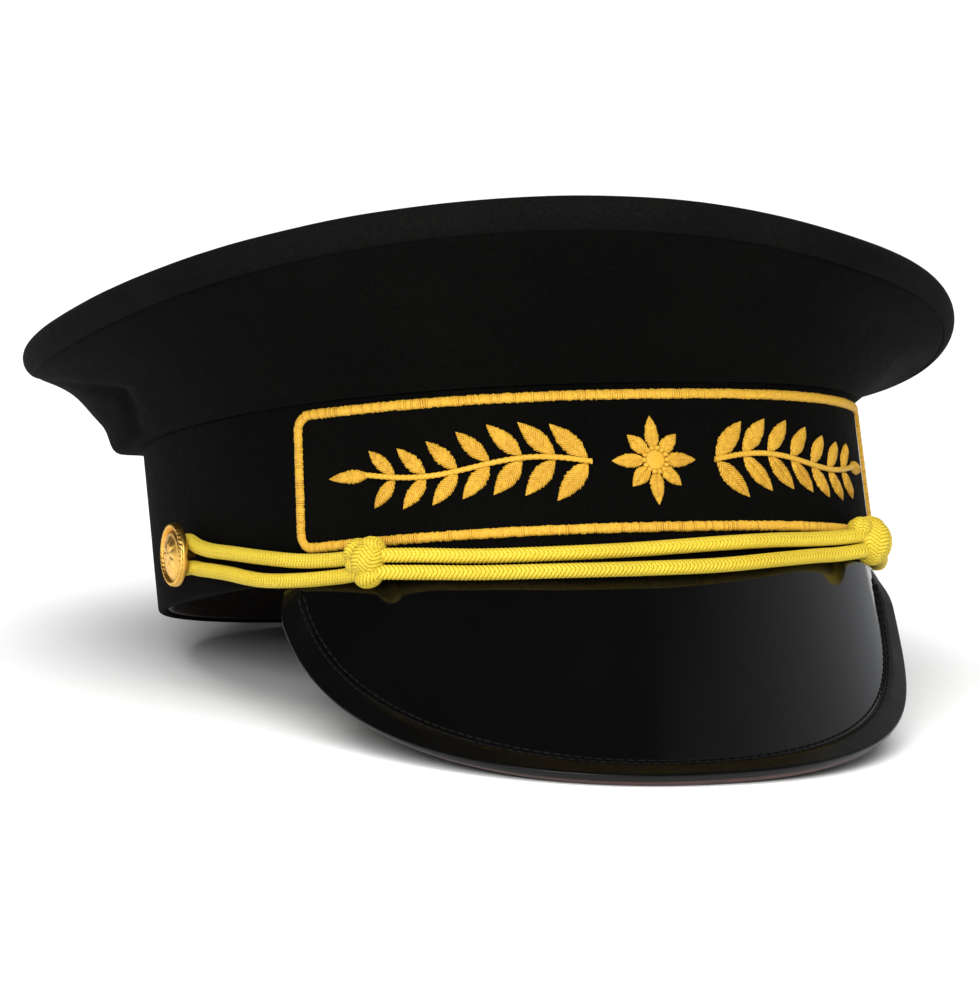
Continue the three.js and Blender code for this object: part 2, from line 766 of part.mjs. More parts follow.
// A round strand along a curve
function strand(curve, radius) {
  const round = new THREE.Shape();
  for (let i = 0; i < strandSides; i += 1) {
    const turn = 2 * Math.PI * (i + 0.5) / strandSides;
    const [x, y] = [radius * Math.cos(turn), radius * Math.sin(turn)];
    if (i === 0) {
      round.moveTo(x, y);
    } else {
      round.lineTo(x, y);
    }
  }
  round.closePath();
  const steps = Math.ceil(curve.getLength() / strandStep);
  return welded(new THREE.ExtrudeGeometry(round, { steps, extrudePath: curve, bevelEnabled: false }));
}

const upperCurve = strandCurve(upperRoute, upperEnd);
const lowerCurve = strandCurve(lowerRoute, lowerEnd);

// Knot: two round lobes tied round both strands, with a lane for each strand
function knot(arc, height, lobes) {
  const angle = angleAtArc(arc);
  const outward = bandOutward(angle);
  const frame = new THREE.Matrix4().makeBasis(
    new THREE.Vector3().crossVectors(up, outward).normalize(),
    up,
    outward,
  );
  const centre = overBand(arc, height, knotOffset);
  const body = joined(lobes.map((lobe) => {
    const geometry = new THREE.SphereGeometry(0.5, knotSteps, knotRows);
    geometry.scale(lobe.width * knotWidth, lobe.tall * knotTall, lobe.depth * knotDepth);
    geometry.translate(lobe.sideways * knotWidth, lobe.raise * knotTall, 0);
    geometry.applyMatrix4(frame);
    geometry.translate(centre.x, centre.y, centre.z);
    return welded(geometry);
  }));
  const laneRadius = (strandRadius + gap) / Math.cos(Math.PI / strandSides);
  const lanes = joined([upperCurve, lowerCurve].map((curve) => strand(curve, laneRadius)));
  return fromSolid(body.subtract(lanes));
}

// Button: a domed disc with a raised rim on a shank, turned about its own axis
function button() {
  const seat = gap;
  const back = 2 * gap + 2 * strandRadius + gap;
  const face = back + buttonRim;
  const bevel = buttonRim / 3;
  const groove = buttonRadius - buttonRim;
  const profile = [
    [0, seat],
    [shankRadius, seat],
    [shankRadius, back],
    [buttonRadius - bevel, back],
    [buttonRadius, back + bevel],
    [buttonRadius, face - bevel],
    [buttonRadius - bevel, face],
    [groove, face - bevel],
  ];
  const domeSteps = 3;
  for (let i = 1; i <= domeSteps; i += 1) {
    const share = 1 - i / domeSteps;
    profile.push([groove * share, face + buttonDome * (1 - share ** 2)]);
  }
  const points = profile.map(([radius, height]) => new THREE.Vector2(radius, height));
  return welded(new THREE.LatheGeometry(points, buttonSteps));
}

// A named piece with a material of its own
function piece(name, geometry, finish) {
  const mesh = new THREE.Mesh(geometry, new THREE.MeshStandardMaterial(finish));
  mesh.name = name;
  return mesh;
}

// A button seated on the band at an arc length from the centre front
function seatedButton(name, arc) {
  const mesh = piece(name, button(), brass);
  mesh.position.copy(overBand(arc, buttonHeight, 0));
  mesh.quaternion.setFromUnitVectors(new THREE.Vector3(0, 1, 0), bandOutward(angleAtArc(arc)));
  return mesh;
}

// A piece whose geometry is moved to its own middle, and which is placed back by its position
function centred(mesh) {
  mesh.geometry.computeBoundingBox();
  const middle = mesh.geometry.boundingBox.getCenter(new THREE.Vector3());
  mesh.geometry.translate(-middle.x, -middle.y, -middle.z);
  mesh.position.copy(middle);
  return mesh;
}

const sweatbandOuter = -bandWall - gap;
const bandPiece = piece('band', bandRing(0, bandHeight, 0, -bandWall), felt);
const sweatbandPiece = piece(
  'sweatband',
  bandRing(sweatbandRaise, sweatbandRaise + sweatbandHeight, sweatbandOuter, sweatbandOuter - sweatbandWall),
  lining,
);
const peakPiece = piece('peak', peak(), patent);
const bindingPiece = piece('peak_binding', peakBinding(), patent);

const cap = new THREE.Group();
cap.add(
  bandPiece,
  sweatbandPiece,
  piece('crown_side', crownSide(), felt),
  piece('crown_top', crownTop(), felt),
  peakPiece,
  bindingPiece,
  piece('panel_border', panelBorder(), goldThread),
  piece('motif_centre', rosette(), goldThread),
  piece('motif_right', sprig(-1), goldThread),
  piece('motif_left', sprig(1), goldThread),
  piece('cord_upper', strand(upperCurve, strandRadius), yellowCord),
  piece('cord_lower', strand(lowerCurve, strandRadius), yellowCord),
  centred(piece('knot_right', knot(rightKnotArc, rightKnotHeight, rightLobes), yellowCord)),
  centred(piece('knot_left', knot(leftKnotArc, leftKnotHeight, leftLobes), yellowCord)),
  seatedButton('button_right', -buttonArc),
  seatedButton('button_left', buttonArc),
);

// Lowest point of a piece when the cap is leaned back by an angle
function lowestPoint(mesh, lean) {
  const position = mesh.geometry.getAttribute('position');
  let lowest = Infinity;
  for (let i = 0; i < position.count; i += 1) {
    lowest = Math.min(lowest, position.getZ(i) * Math.cos(lean) - position.getY(i) * Math.sin(lean));
  }
  return lowest;
}

// The lean at which the peak's edge and the back of the rim touch the same floor
function restingLean() {
  let [low, high] = [0, Math.PI / 3];
  for (let round = 0; round < 50; round += 1) {
    const lean = (low + high) / 2;
    const front = Math.min(lowestPoint(peakPiece, lean), lowestPoint(bindingPiece, lean));
    if (front < lowestPoint(bandPiece, lean)) {
      low = lean;
    } else {
      high = lean;
    }
  }
  return (low + high) / 2;
}

// The cap as it rests: the floor is at zero, under the middle of the whole cap
const leaned = new THREE.Group();
cap.rotation.x = -restingLean();
leaned.add(cap);
leaned.updateMatrixWorld(true);
const bounds = new THREE.Box3().setFromObject(leaned, true);
const middle = bounds.getCenter(new THREE.Vector3());
leaned.position.set(-middle.x, -middle.y, -bounds.min.z);

const conductorCap = new THREE.Group();
conductorCap.add(leaned);

export default conductorCap;
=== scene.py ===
"""Looks of a conductor's cap: felt crown and band, glossy peak, stitched embroidery and a braided chin cord.

Lengths are in millimetres in the cap's own frame, where +Z is up from the rim, -Y is the front
and +X is the wearer's left. place() turns them into metres in the row frame, where the cap leans back.
"""

import json
import math

import bmesh
import bpy
import numpy as np
from mathutils import Matrix, Vector


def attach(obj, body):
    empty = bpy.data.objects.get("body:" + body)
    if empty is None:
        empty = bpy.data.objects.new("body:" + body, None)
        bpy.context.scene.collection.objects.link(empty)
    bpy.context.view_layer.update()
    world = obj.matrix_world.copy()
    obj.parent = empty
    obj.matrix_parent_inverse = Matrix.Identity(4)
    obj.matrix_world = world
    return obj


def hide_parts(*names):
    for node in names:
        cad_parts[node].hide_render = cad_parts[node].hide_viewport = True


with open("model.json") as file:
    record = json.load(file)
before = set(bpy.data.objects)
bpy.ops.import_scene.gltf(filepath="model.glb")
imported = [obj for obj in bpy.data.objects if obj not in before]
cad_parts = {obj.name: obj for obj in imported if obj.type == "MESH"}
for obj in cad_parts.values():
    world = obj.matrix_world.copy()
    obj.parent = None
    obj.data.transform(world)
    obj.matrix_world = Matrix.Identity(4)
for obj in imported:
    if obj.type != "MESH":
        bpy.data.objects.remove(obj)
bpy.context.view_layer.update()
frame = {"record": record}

MM = 0.001
GAP = 0.3
UP = np.array([0.0, 0.0, 1.0])

# Band and sweatband
BAND_HALF_WIDTH = 86.5
BAND_HALF_LENGTH = 103.0
BAND_HEIGHT = 43.0
BAND_WALL = 2.2
BAND_RAKE = 0.163
BAND_POWER = 2.3
SWEATBAND_WALL = 1.2
SWEATBAND_HEIGHT = 30.0
SWEATBAND_RAISE = 0.8

# Crown
CROWN_HALF_WIDTH = 113.6
CROWN_HALF_LENGTH = 129.5
CROWN_SET_BACK = 9.5
CROWN_RISE = 27.0
CROWN_FRONT_LIFT = 3.0
CROWN_LEAN = 7.4
CROWN_SADDLE = 9.0
CROWN_FRONT_PINCH = 2.0
CROWN_WALL = 1.8
ROLL_RADIUS = 4.6
TOP_SAG = 1.6
WALL_HOLLOW = 1.0
FOOT_OVERHANG = 1.3
SEAM_SHARE = 0.955
SEAM_WIDTH = 0.012
SEAM_DEPTH = 0.5
# Bulge of cloth below the crease: height, angle, half angle, and place and spread as shares of the slant
BULGE = (1.3, -107, 10, 0.33, 0.2)
# Least sine of the wall's slant that its foot's width is worked out for
LEAST_SLANT = 0.4
# Heights of the cloth's ripples
BAND_RIPPLE = 0.09
WALL_RIPPLE = 0.22
TOP_RIPPLE = 0.2

# Peak and its binding
PEAK_HALF_ANGLE = math.radians(59.4)
PEAK_TURN = math.radians(4.8)
PEAK_DEPTH = 62.9
PEAK_WALL = 2.0
PEAK_FRONT_SLOPE = 59.9
PEAK_SIDE_SLOPE = 62.5
PEAK_FORWARD_SHARE = 1.026
PEAK_HOLLOW = 2.0
PEAK_SHAPE_POWER = 1.91
PEAK_CORNER_POWER = 0.44
PEAK_END_DEPTH = 2.0
LIP_WIDTH = 5.5
LIP_RISE = math.tan(math.radians(22))
LIP_BEND = 2.0
LIP_FADE = 10.0
BINDING_WALL = 0.8
PEAK_STITCH = 2.5
PEAK_STITCH_WIDTH = 0.62
PEAK_STITCH_HEIGHT = 0.32
# Depths of the peak from which it is bound, stitched, and bound at full thickness
BINDING_START = 3.0
STITCHES_START = 6.0
BINDING_THIN = 2.5
BINDING_WHOLE = 11.5

# Rows of stitches on the peak: distance from its edge and height over its face
STITCH_ROWS = [(LIP_WIDTH - 0.5, 0.55), (LIP_WIDTH + 0.75, 0.06)]

# Embroidery
STITCH_DEPTH = 0.9
STITCH_PITCH = 0.62
# Steps of the mesh along one stitch of the border and along one of a leaf
BORDER_STEPS = 5
LEAF_STEPS = 7
STEM_RADIUS = 0.72
BORDER_HALF_LENGTH = 93.6
BORDER_WIDTH = 2.5
BORDER_CORNER = 5.0
BORDER_LOW = 6.4
BORDER_HIGH = BAND_HEIGHT - 1.4
MOTIF_HEIGHT = (BORDER_LOW + BORDER_HIGH) / 2
ROSETTE_RADIUS = 11.0
ROSETTE_HUB = 3.2
PETAL_WIDTH = 3.8
SPRIG_START = 16.0
SPRIG_LENGTH = 68.0
SPRIG_WAVE = 1.6
SPRIG_PAIRS = 7
LEAF_LENGTH = 12.5
LEAF_WIDTH = 5.0
LEAF_ANGLE = math.radians(47)
LEAF_TAPER = 0.3

# Buttons, cord and knots
BUTTON_ARC = 146.0
BUTTON_HEIGHT = 11.1
BUTTON_RADIUS = 8.0
BUTTON_RIM = 1.8
BUTTON_DOME = 1.0
SHANK_RADIUS = 1.2
# Relief of the button's face: height, place and spread as shares of its radius
BUTTON_PETALS = (0.28, 0.34, 0.24)
BUTTON_BEADS = (0.2, 0.68, 0.05)
BUTTON_HUB = (0.22, 0.0, 0.11)
STRAND_RADIUS = 1.8
BRAID_PITCH = 1.05
BRAID_RADIUS = STRAND_RADIUS * 1.06
PLAIT_DEPTH = 0.42
# Share of the plait's depth that its ribs have, and the height of a rib below which it gets painted shade
RIB_SHARE = 0.62
VALLEY_HEIGHT = 0.55
KNOT_DEPTH = 9.5
RIGHT_KNOT = (-70.8, 2.8)
LEFT_KNOT = (62.0, 4.6)
KNOT_APPROACH = 17.0
# Lobes of the knots: shift along the band, up and forward, half length, half width, half depth, lean from the
# band's direction in degrees, and plaited columns round it
RIGHT_LOBES = [
    (0.3, 0.3, 0.4, 4.5, 4.3, 4.6, 62, 8),
    (-3.4, 2.6, -0.6, 3.3, 2.6, 3.4, 50, 6),
    (-2.6, -0.6, -0.3, 3.2, 2.7, 3.6, 15, 6),
    (0.2, -4.1, -0.2, 3.6, 2.6, 3.6, 12, 6),
    (1.6, 3.3, -0.4, 3.2, 2.4, 3.4, -20, 6),
]
LEFT_LOBES = [
    (0.8, -0.7, 0.3, 5.9, 5.1, 4.9, 72, 10),
    (-3.6, 3.0, -1.0, 3.0, 2.4, 3.2, 30, 6),
    (1.4, 3.2, -0.2, 3.8, 2.6, 3.6, -15, 6),
]

# Dents in the crown's side wall: angle, half angle, place, spread and depth, as in the part's source
CROWN_DENTS = [
    (-118, 17, 0.1, 0.12, -2.2),
    (-112, 15, 0.85, 0.3, 0.4),
    (-84, 26, 0.7, 0.3, 0.22),
    (44, 15, 0.62, 0.3, 0.26),
    (150, 22, 0.5, 0.4, 0.3),
]
# Pushes of the crown's rim: angle, half angle and lift
RIM_PUSHES = [(28, 19, -0.38), (96, 40, 0.72)]

# Routes of the strands: arc from the centre front and height above the rim. Behind the wearer's left
# knot they run up to 2.6 mm higher than their solids
UPPER_ROUTE = [
    (-131, 10.8), (-120.8, 9.2), (-105.4, 6.6),
    (-92.8, 4.7), (-81, 3.9), (-70.8, 3.9), (-61, 3.4), (-45.6, 2.2), (-27.1, 1.8), (-8.1, 2.1),
    (12.4, 3.1), (29.4, 3.9), (42, 4.3), (51, 4.8), (60.6, 5.8), (71, 7.1), (82, 6.9), (92.8, 6.1),
    (105.4, 6.6), (120.8, 9.2), (131, 10.8),
]
LOWER_ROUTE = [
    (-130.8, 5.6), (-121.4, 4), (-113.5, 2.3),
    (-106, 1), (-93.2, 0), (-81, -0.3), (-70.8, -0.2), (-61, -0.8), (-46, -1.9), (-27.6, -2.5),
    (-8.7, -2.7), (11.7, -2.3), (28.5, -1), (42, 0.1), (51, 0.7), (60.6, 2.0), (71, 3.4), (82, 3.2),
    (93.2, 2.2), (106, 1.6), (113.5, 2.3), (121.4, 4), (130.8, 5.6),
]
# Ends of the strands at a button: further round from its middle, and above it
UPPER_END = [(-7.7, 1.4), (-2, 3.3), (2.5, 3.4)]
LOWER_END = [(-9, -4.6), (-2, -3.5), (2.5, -3.4)]

# Camera, in the cap's own frame: the photograph's viewing angle
VIEW_AZIMUTH = math.radians(-21.3)
VIEW_ELEVATION = math.radians(-5.411)
VIEW_ROLL = math.radians(-2.927)
VIEW_DISTANCE = 1470.0
VIEW_TARGET = np.array([0.0, 0.0, 44.1])
FOCAL_PIXELS = 5712.0
IMAGE_WIDTH = 980.0
# Pixels by which the target lies right of and above the picture's middle
TARGET_RIGHT = 12.57
TARGET_ABOVE = 69.6

# The cap's lean and place in the row frame, from the mount at the back of its rim
mount = next(m for m in frame["record"]["mounts"] if m["name"] == "rim")
LEAN = math.asin(-mount["axis"][1])
TURN = np.array([
    [1, 0, 0],
    [0, math.cos(LEAN), math.sin(LEAN)],
    [0, -math.sin(LEAN), math.cos(LEAN)],
])
MOVE = np.array(mount["pos_m"]) - TURN @ np.array([0, BAND_HALF_LENGTH - BAND_WALL / 2, 0]) * MM


def place(points):
    """Points in the cap's frame in millimetres, to the row frame in metres."""
    return np.asarray(points, float) @ TURN.T * MM + MOVE


def unit(v):
    """Vectors of length 1."""
    return v / np.maximum(np.linalg.norm(v, axis=-1, keepdims=True), 1e-12)


def stacked(x, y, z):
    """Points from three arrays of the same shape."""
    return np.stack(np.broadcast_arrays(x, y, z), -1).astype(float)


def show(name, data):
    """Adds an object to the scene."""
    piece = bpy.data.objects.new(name, data)
    bpy.context.scene.collection.objects.link(piece)
    return piece


# Camera

def make_camera():
    """The camera at the photograph's viewing angle."""
    az, el, roll = VIEW_AZIMUTH, VIEW_ELEVATION, VIEW_ROLL
    back = np.array([math.sin(az) * math.cos(el), -math.cos(az) * math.cos(el), math.sin(el)])
    right = np.array([math.cos(az), math.sin(az), 0])
    above = np.cross(back, right)
    right, above = (
        right * math.cos(roll) + above * math.sin(roll),
        above * math.cos(roll) - right * math.sin(roll),
    )
    eye = VIEW_TARGET + back * VIEW_DISTANCE
    ahead = unit(-back - (right * TARGET_RIGHT + above * TARGET_ABOVE) / FOCAL_PIXELS)
    right = unit(np.cross(ahead, above))
    above = np.cross(right, ahead)
    axes = TURN @ np.stack([right, above, -ahead], 1)
    data = bpy.data.cameras.new("camera")
    data.sensor_fit = "HORIZONTAL"
    data.sensor_width = 36
    data.lens = 36 * FOCAL_PIXELS / IMAGE_WIDTH
    data.clip_start = 0.05
    data.clip_end = 60
    camera = show("camera", data)
    camera.matrix_world = Matrix.Translation(Vector(place(eye))) @ Matrix(axes.tolist()).to_4x4()
    bpy.context.scene.camera = camera


make_camera()


# Materials

def set_inputs(node, **values):
    """Sets inputs of a node, whose names are written with underscores for spaces."""
    for key, value in values.items():
        node.inputs[key.replace("_", " ")].default_value = value


class Paint:
    """A material with a shader whose colour, roughness and bump come from noise."""

    def __init__(self, name, **values):
        self.material = bpy.data.materials.new(name)
        self.material.use_nodes = True
        self.tree = self.material.node_tree
        self.shader = next(n for n in self.tree.nodes if n.type == "BSDF_PRINCIPLED")
        set_inputs(self.shader, **values)
        self.where = self.node("TexCoord").outputs["Object"]
        self.height = None

    def link(self, a, b):
        self.tree.links.new(a, b)

    def node(self, kind, **values):
        made = self.tree.nodes.new("ShaderNode" + kind)
        set_inputs(made, **values)
        return made

    def texture(self, output, kind, **values):
        node = self.node(kind, **values)
        self.link(self.where, node.inputs["Vector"])
        return node.outputs[output]

    def noise(self, scale, detail=3.0, roughness=0.55):
        return self.texture("Fac", "TexNoise", Scale=scale, Detail=detail, Roughness=roughness)

    def cells(self, scale):
        return self.texture("Distance", "TexVoronoi", Scale=scale)

    def ramp(self, value, stops):
        node = self.node("ValToRGB")
        elements = node.color_ramp.elements
        while len(elements) < len(stops):
            elements.new(0.5)
        for element, (at, color) in zip(elements, stops):
            element.position = at
            element.color = (*color, 1)
        self.link(value, node.inputs["Fac"])
        return node.outputs["Color"]

    def multiplied(self, a, b):
        node = self.node("MixRGB", Fac=1.0)
        node.blend_type = "MULTIPLY"
        self.link(a, node.inputs["Color1"])
        self.link(b, node.inputs["Color2"])
        return node.outputs["Color"]

    def span(self, value, low, high):
        node = self.node("MapRange", From_Min=0.3, From_Max=0.7, To_Min=low, To_Max=high)
        self.link(value, node.inputs["Value"])
        return node.outputs["Result"]

    def color(self, value):
        self.link(value, self.shader.inputs["Base Color"])

    def rough(self, value, low, high):
        self.link(self.span(value, low, high), self.shader.inputs["Roughness"])

    def bump(self, value, depth, strength=1.0):
        node = self.node("Bump", Strength=strength, Distance=depth)
        self.link(value, node.inputs["Height"])
        if self.height is not None:
            self.link(self.height, node.inputs["Normal"])
        self.height = node.outputs["Normal"]
        self.link(self.height, self.shader.inputs["Normal"])


def felt_paint(name, dark, light, warm):
    sheen = {"Sheen_Weight": 0.008, "Sheen_Roughness": 0.4, "Sheen_Tint": (0.8, 0.78, 0.74, 1)}
    paint = Paint(name, Specular_IOR_Level=0.03, **sheen)
    fibres = paint.noise(1500, 4, 0.7)
    heather = paint.ramp(fibres, [(0.35, dark), (0.62, light), (0.8, warm)])
    broad = paint.ramp(paint.noise(28, 2), [(0.3, (0.8, 0.8, 0.8)), (0.7, (1.1, 1.08, 1.05))])
    paint.color(paint.multiplied(heather, broad))
    paint.rough(paint.noise(300), 0.86, 0.98)
    paint.bump(paint.noise(420, 3), 0.00025, 0.5)
    paint.bump(fibres, 0.00012, 0.6)
    return paint.material


def patent_paint(name, low, high, grain, depth, gloss, coat):
    paint = Paint(name, IOR=1.5, Specular_IOR_Level=gloss, Coat_Weight=coat, Coat_Roughness=0.06)
    tone = paint.noise(35, 3)
    paint.color(paint.ramp(tone, [(0.3, (0.001, 0.001, 0.0011)), (0.7, (0.0016, 0.0016, 0.0017))]))
    paint.rough(paint.noise(120, 3), low, high)
    paint.bump(paint.noise(grain, 3), depth, 0.35)
    return paint.material


def thread_paint(name, dark, middle, light, rough, sheen):
    paint = Paint(
        name, Specular_IOR_Level=0.2, Sheen_Weight=sheen, Sheen_Roughness=0.4, Sheen_Tint=(1, 0.9, 0.6, 1),
    )
    strands = paint.noise(2600, 2, 0.5)
    tone = paint.ramp(strands, [(0.28, dark), (0.5, middle), (0.74, light)])
    broad = paint.ramp(paint.noise(70, 2), [(0.3, (0.93, 0.9, 0.86)), (0.7, (1.02, 1.02, 1.02))])
    paint.color(paint.multiplied(tone, broad))
    paint.rough(paint.noise(260), rough - 0.05, rough + 0.08)
    paint.bump(strands, 0.00005, 0.35)
    return paint.material


def brass_paint():
    paint = Paint("brass", Metallic=1.0)
    stops = [(0.25, (0.62, 0.32, 0.05)), (0.5, (0.86, 0.5, 0.1)), (0.8, (0.98, 0.68, 0.2))]
    paint.color(paint.ramp(paint.noise(160, 4), stops))
    paint.rough(paint.noise(500, 3), 0.34, 0.5)
    paint.bump(paint.noise(900, 2), 0.00006, 0.4)
    return paint.material


def lining_paint(name, dark, light, sheen):
    paint = Paint(name, Specular_IOR_Level=0.3, Sheen_Weight=sheen, Sheen_Roughness=0.5)
    paint.color(paint.ramp(paint.noise(180, 4), [(0.3, dark), (0.7, light)]))
    paint.rough(paint.noise(90), 0.55, 0.78)
    paint.bump(paint.cells(1400), 0.0001, 0.5)
    return paint.material


# A lighter copy of the felt for the crown's top and rolled rim: painted light, where light from above falls
# on them
TOP_FELT_PAINTED_LIGHT = felt_paint(
    "felt_with_painted_light", (0.0028, 0.0028, 0.0027), (0.0054, 0.0053, 0.0051), (0.0098, 0.0094, 0.0088),
)
FELT = felt_paint("felt", (0.0014, 0.0014, 0.0013), (0.0026, 0.0026, 0.0024), (0.0047, 0.0046, 0.0043))
BAND_FELT = felt_paint(
    "band_felt", (0.0013, 0.0013, 0.0012), (0.0023, 0.0023, 0.0021), (0.004, 0.0039, 0.0036),
)
PATENT = patent_paint("patent", 0.09, 0.15, 22, 0.0009, 0.5, 0.3)
EDGE_PATENT = patent_paint("edge_patent", 0.3, 0.42, 500, 0.0002, 0.22, 0.0)
EDGE_RAW = lining_paint("raw_edge", (0.03, 0.01, 0.008), (0.065, 0.022, 0.018), 0.1)
GOLD = thread_paint("gold_thread", (0.46, 0.245, 0.018), (0.56, 0.32, 0.03), (0.66, 0.405, 0.052), 0.42, 0.05)
YELLOW = thread_paint("yellow_cord", (0.5, 0.36, 0.022), (0.6, 0.45, 0.036), (0.68, 0.53, 0.055), 0.58, 0.05)
# A darker copy of the gold thread: painted shade, laid in the dips between stitches
GOLD_PAINTED_SHADE = thread_paint(
    "gold_thread_painted_shade", (0.25, 0.105, 0.007), (0.32, 0.145, 0.01), (0.39, 0.19, 0.016), 0.6, 0.0,
)
# A darker copy of the yellow cord: painted shade, laid in the valleys between plaited ribs
YELLOW_PAINTED_SHADE = thread_paint(
    "yellow_cord_painted_shade", (0.24, 0.16, 0.007), (0.31, 0.21, 0.01), (0.39, 0.28, 0.015), 0.7, 0.0,
)
BLACK_THREAD = thread_paint("black_thread", *((tone,) * 3 for tone in (0.0015, 0.003, 0.006)), 0.75, 0.0)
BRASS = brass_paint()
LEATHER = lining_paint("sweatband_leather", (0.03, 0.022, 0.017), (0.06, 0.044, 0.034), 0.08)
LINING = lining_paint("lining_cloth", (0.008, 0.007, 0.007), (0.016, 0.014, 0.013), 0.25)


# Mesh helpers

def grid_faces(rows, count, wrap_rows=False, wrap_count=True):
    """Four-sided faces between rows of points."""
    r = np.arange(rows if wrap_rows else rows - 1)[:, None]
    c = np.arange(count if wrap_count else count - 1)[None, :]
    r2, c2 = (r + 1) % rows, (c + 1) % count
    quads = np.stack(np.broadcast_arrays(r * count + c, r * count + c2, r2 * count + c2, r2 * count + c), -1)
    return quads.reshape(-1, 4)


class Builder:
    """Collects grids and caps into one mesh."""

    def __init__(self):
        self.points, self.faces, self.marks, self.count = [], [], [], 0

    def add(self, points, faces, mark=0):
        points = np.asarray(points, float).reshape(-1, 3)
        self.points.append(points)
        self.faces.append(([[int(i) + self.count for i in face] for face in faces], mark))
        self.count += len(points)

    def grid(self, points, wrap_rows=False, wrap_count=True, mark=0):
        rows, count = points.shape[:2]
        self.add(points, grid_faces(rows, count, wrap_rows, wrap_count), mark)

    def fan(self, centre, ring, mark=0):
        count = len(ring)
        i = np.arange(count)
        self.add(np.vstack([ring, centre]), np.stack([i, (i + 1) % count, np.full(count, count)], -1), mark)

    def tube(self, rings, mark=0):
        """A closed tube from rings of points, with domed ends."""
        self.grid(rings, mark=mark)
        self.fan(rings[0].mean(0), rings[0][::-1])
        self.fan(rings[-1].mean(0), rings[-1])

    def object(self, name, materials, slot, replaces=(), sharp=40, weld=True):
        points = place(np.vstack(self.points))
        faces, marks = [], []
        for block, mark in self.faces:
            faces.extend(block)
            marks.extend(np.broadcast_to(mark, len(block)).astype(int).tolist())
        mesh = bpy.data.meshes.new(name)
        mesh.from_pydata(points.tolist(), [], faces)
        for material in materials:
            mesh.materials.append(material)
        mesh.polygons.foreach_set("material_index", marks)
        if weld:
            tidy(mesh)
        mesh.polygons.foreach_set("use_smooth", [True] * len(mesh.polygons))
        mesh.set_sharp_from_angle(angle=math.radians(sharp))
        mesh.update()
        piece = show(name, mesh)
        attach(piece, "root")
        if replaces:
            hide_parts(*replaces)


def tidy(mesh):
    """Joins points in the same place and turns the faces outward."""
    work = bmesh.new()
    work.from_mesh(mesh)
    bmesh.ops.remove_doubles(work, verts=work.verts, dist=1e-6)
    bmesh.ops.recalc_face_normals(work, faces=work.faces)
    work.to_mesh(mesh)
    work.free()


# Shape of the cap, as in the part's source

def signed_power(value, power):
    return np.sign(value) * np.abs(value) ** power


def band_outward(angle):
    power = 2 * (BAND_POWER - 1) / BAND_POWER
    x = signed_power(np.sin(angle), power) / BAND_HALF_WIDTH
    y = -signed_power(np.cos(angle), power) / BAND_HALF_LENGTH
    return unit(stacked(x, y, 0.0))


def band_point(angle, height, outward=0.0):
    power = 2 / BAND_POWER
    x = BAND_HALF_WIDTH * signed_power(np.sin(angle), power)
    y = -BAND_HALF_LENGTH * signed_power(np.cos(angle), power) + BAND_RAKE * np.asarray(height, float)
    return stacked(x, y, height) + band_outward(angle) * np.asarray(outward, float)[..., None]


def run_along(points):
    """Length of a line from its start to each of its points."""
    return np.concatenate([[0], np.cumsum(np.linalg.norm(np.diff(points, axis=0), axis=1))])


fine_angles = np.linspace(0, math.pi, 3001)
fine_arcs = run_along(band_point(fine_angles, 0.0))


def angle_at(arc):
    return np.sign(arc) * np.interp(np.abs(arc), fine_arcs, fine_angles)


def over_band(arc, height, outward):
    return band_point(angle_at(np.asarray(arc, float)), height, outward)


def hump(value, at, spread):
    """A soft rise to 1 round a place."""
    return np.exp(-(((value - at) / spread) ** 2))


def nearness(angle, at, half):
    away = angle - math.radians(at)
    turn = np.arctan2(np.sin(away), np.cos(away))
    return hump(turn, 0, math.radians(half))


def crown_height(angle, share):
    slope = share * (CROWN_FRONT_LIFT * np.cos(angle) - CROWN_LEAN * np.sin(angle))
    saddle = share**2 * CROWN_SADDLE * np.cos(2 * angle)
    pinch = -(share**3) * CROWN_FRONT_PINCH * np.cos(3 * angle)
    push = share**3 * ROLL_RADIUS * sum(lift * nearness(angle, at, half) for at, half, lift in RIM_PUSHES)
    return BAND_HEIGHT + CROWN_RISE + slope + saddle + pinch + push


def crown_point(angle, share, above=0.0):
    x = share * CROWN_HALF_WIDTH * np.sin(angle)
    y = CROWN_SET_BACK - share * CROWN_HALF_LENGTH * np.cos(angle)
    return stacked(x, y, crown_height(angle, share) + above)


def crown_outward(angle):
    return unit(stacked(np.sin(angle) / CROWN_HALF_WIDTH, -np.cos(angle) / CROWN_HALF_LENGTH, 0.0))


def crown_section(angle):
    """Foot, rim centre, outward direction, sideways shift, slant and length of the wall at angles."""
    foot = band_point(angle, BAND_HEIGHT + GAP, FOOT_OVERHANG)
    centre = crown_point(angle, 1.0)
    outward = crown_outward(angle)
    across = centre - foot
    run = (across * outward).sum(-1)
    rise = across[..., 2]
    sideways = across - outward * run[..., None]
    sideways[..., 2] = 0
    reach = np.hypot(run, rise)
    slant = np.arctan2(rise, run) - np.arcsin(np.minimum(1, ROLL_RADIUS / reach))
    length = np.sqrt(np.maximum(0, reach**2 - ROLL_RADIUS**2))
    return foot, centre, outward, sideways, slant, length


def dent_depth(angle, share):
    depth = 0
    for at, half, place_share, spread, amount in CROWN_DENTS:
        depth = depth + amount * ROLL_RADIUS * nearness(angle, at, half) * hump(share, place_share, spread)
    return depth * np.sin(math.pi * share)


def wall_point(angle, share, depth):
    foot, _, outward, sideways, slant, length = crown_section(angle)
    inward = depth + dent_depth(angle, share) + WALL_HOLLOW * np.sin(math.pi * share)
    along = length * share
    run = along * np.cos(slant) - inward * np.sin(slant)
    rise = along * np.sin(slant) + inward * np.cos(slant)
    return foot + outward * run[..., None] + sideways * np.asarray(share)[..., None] + stacked(0.0, 0.0, rise)


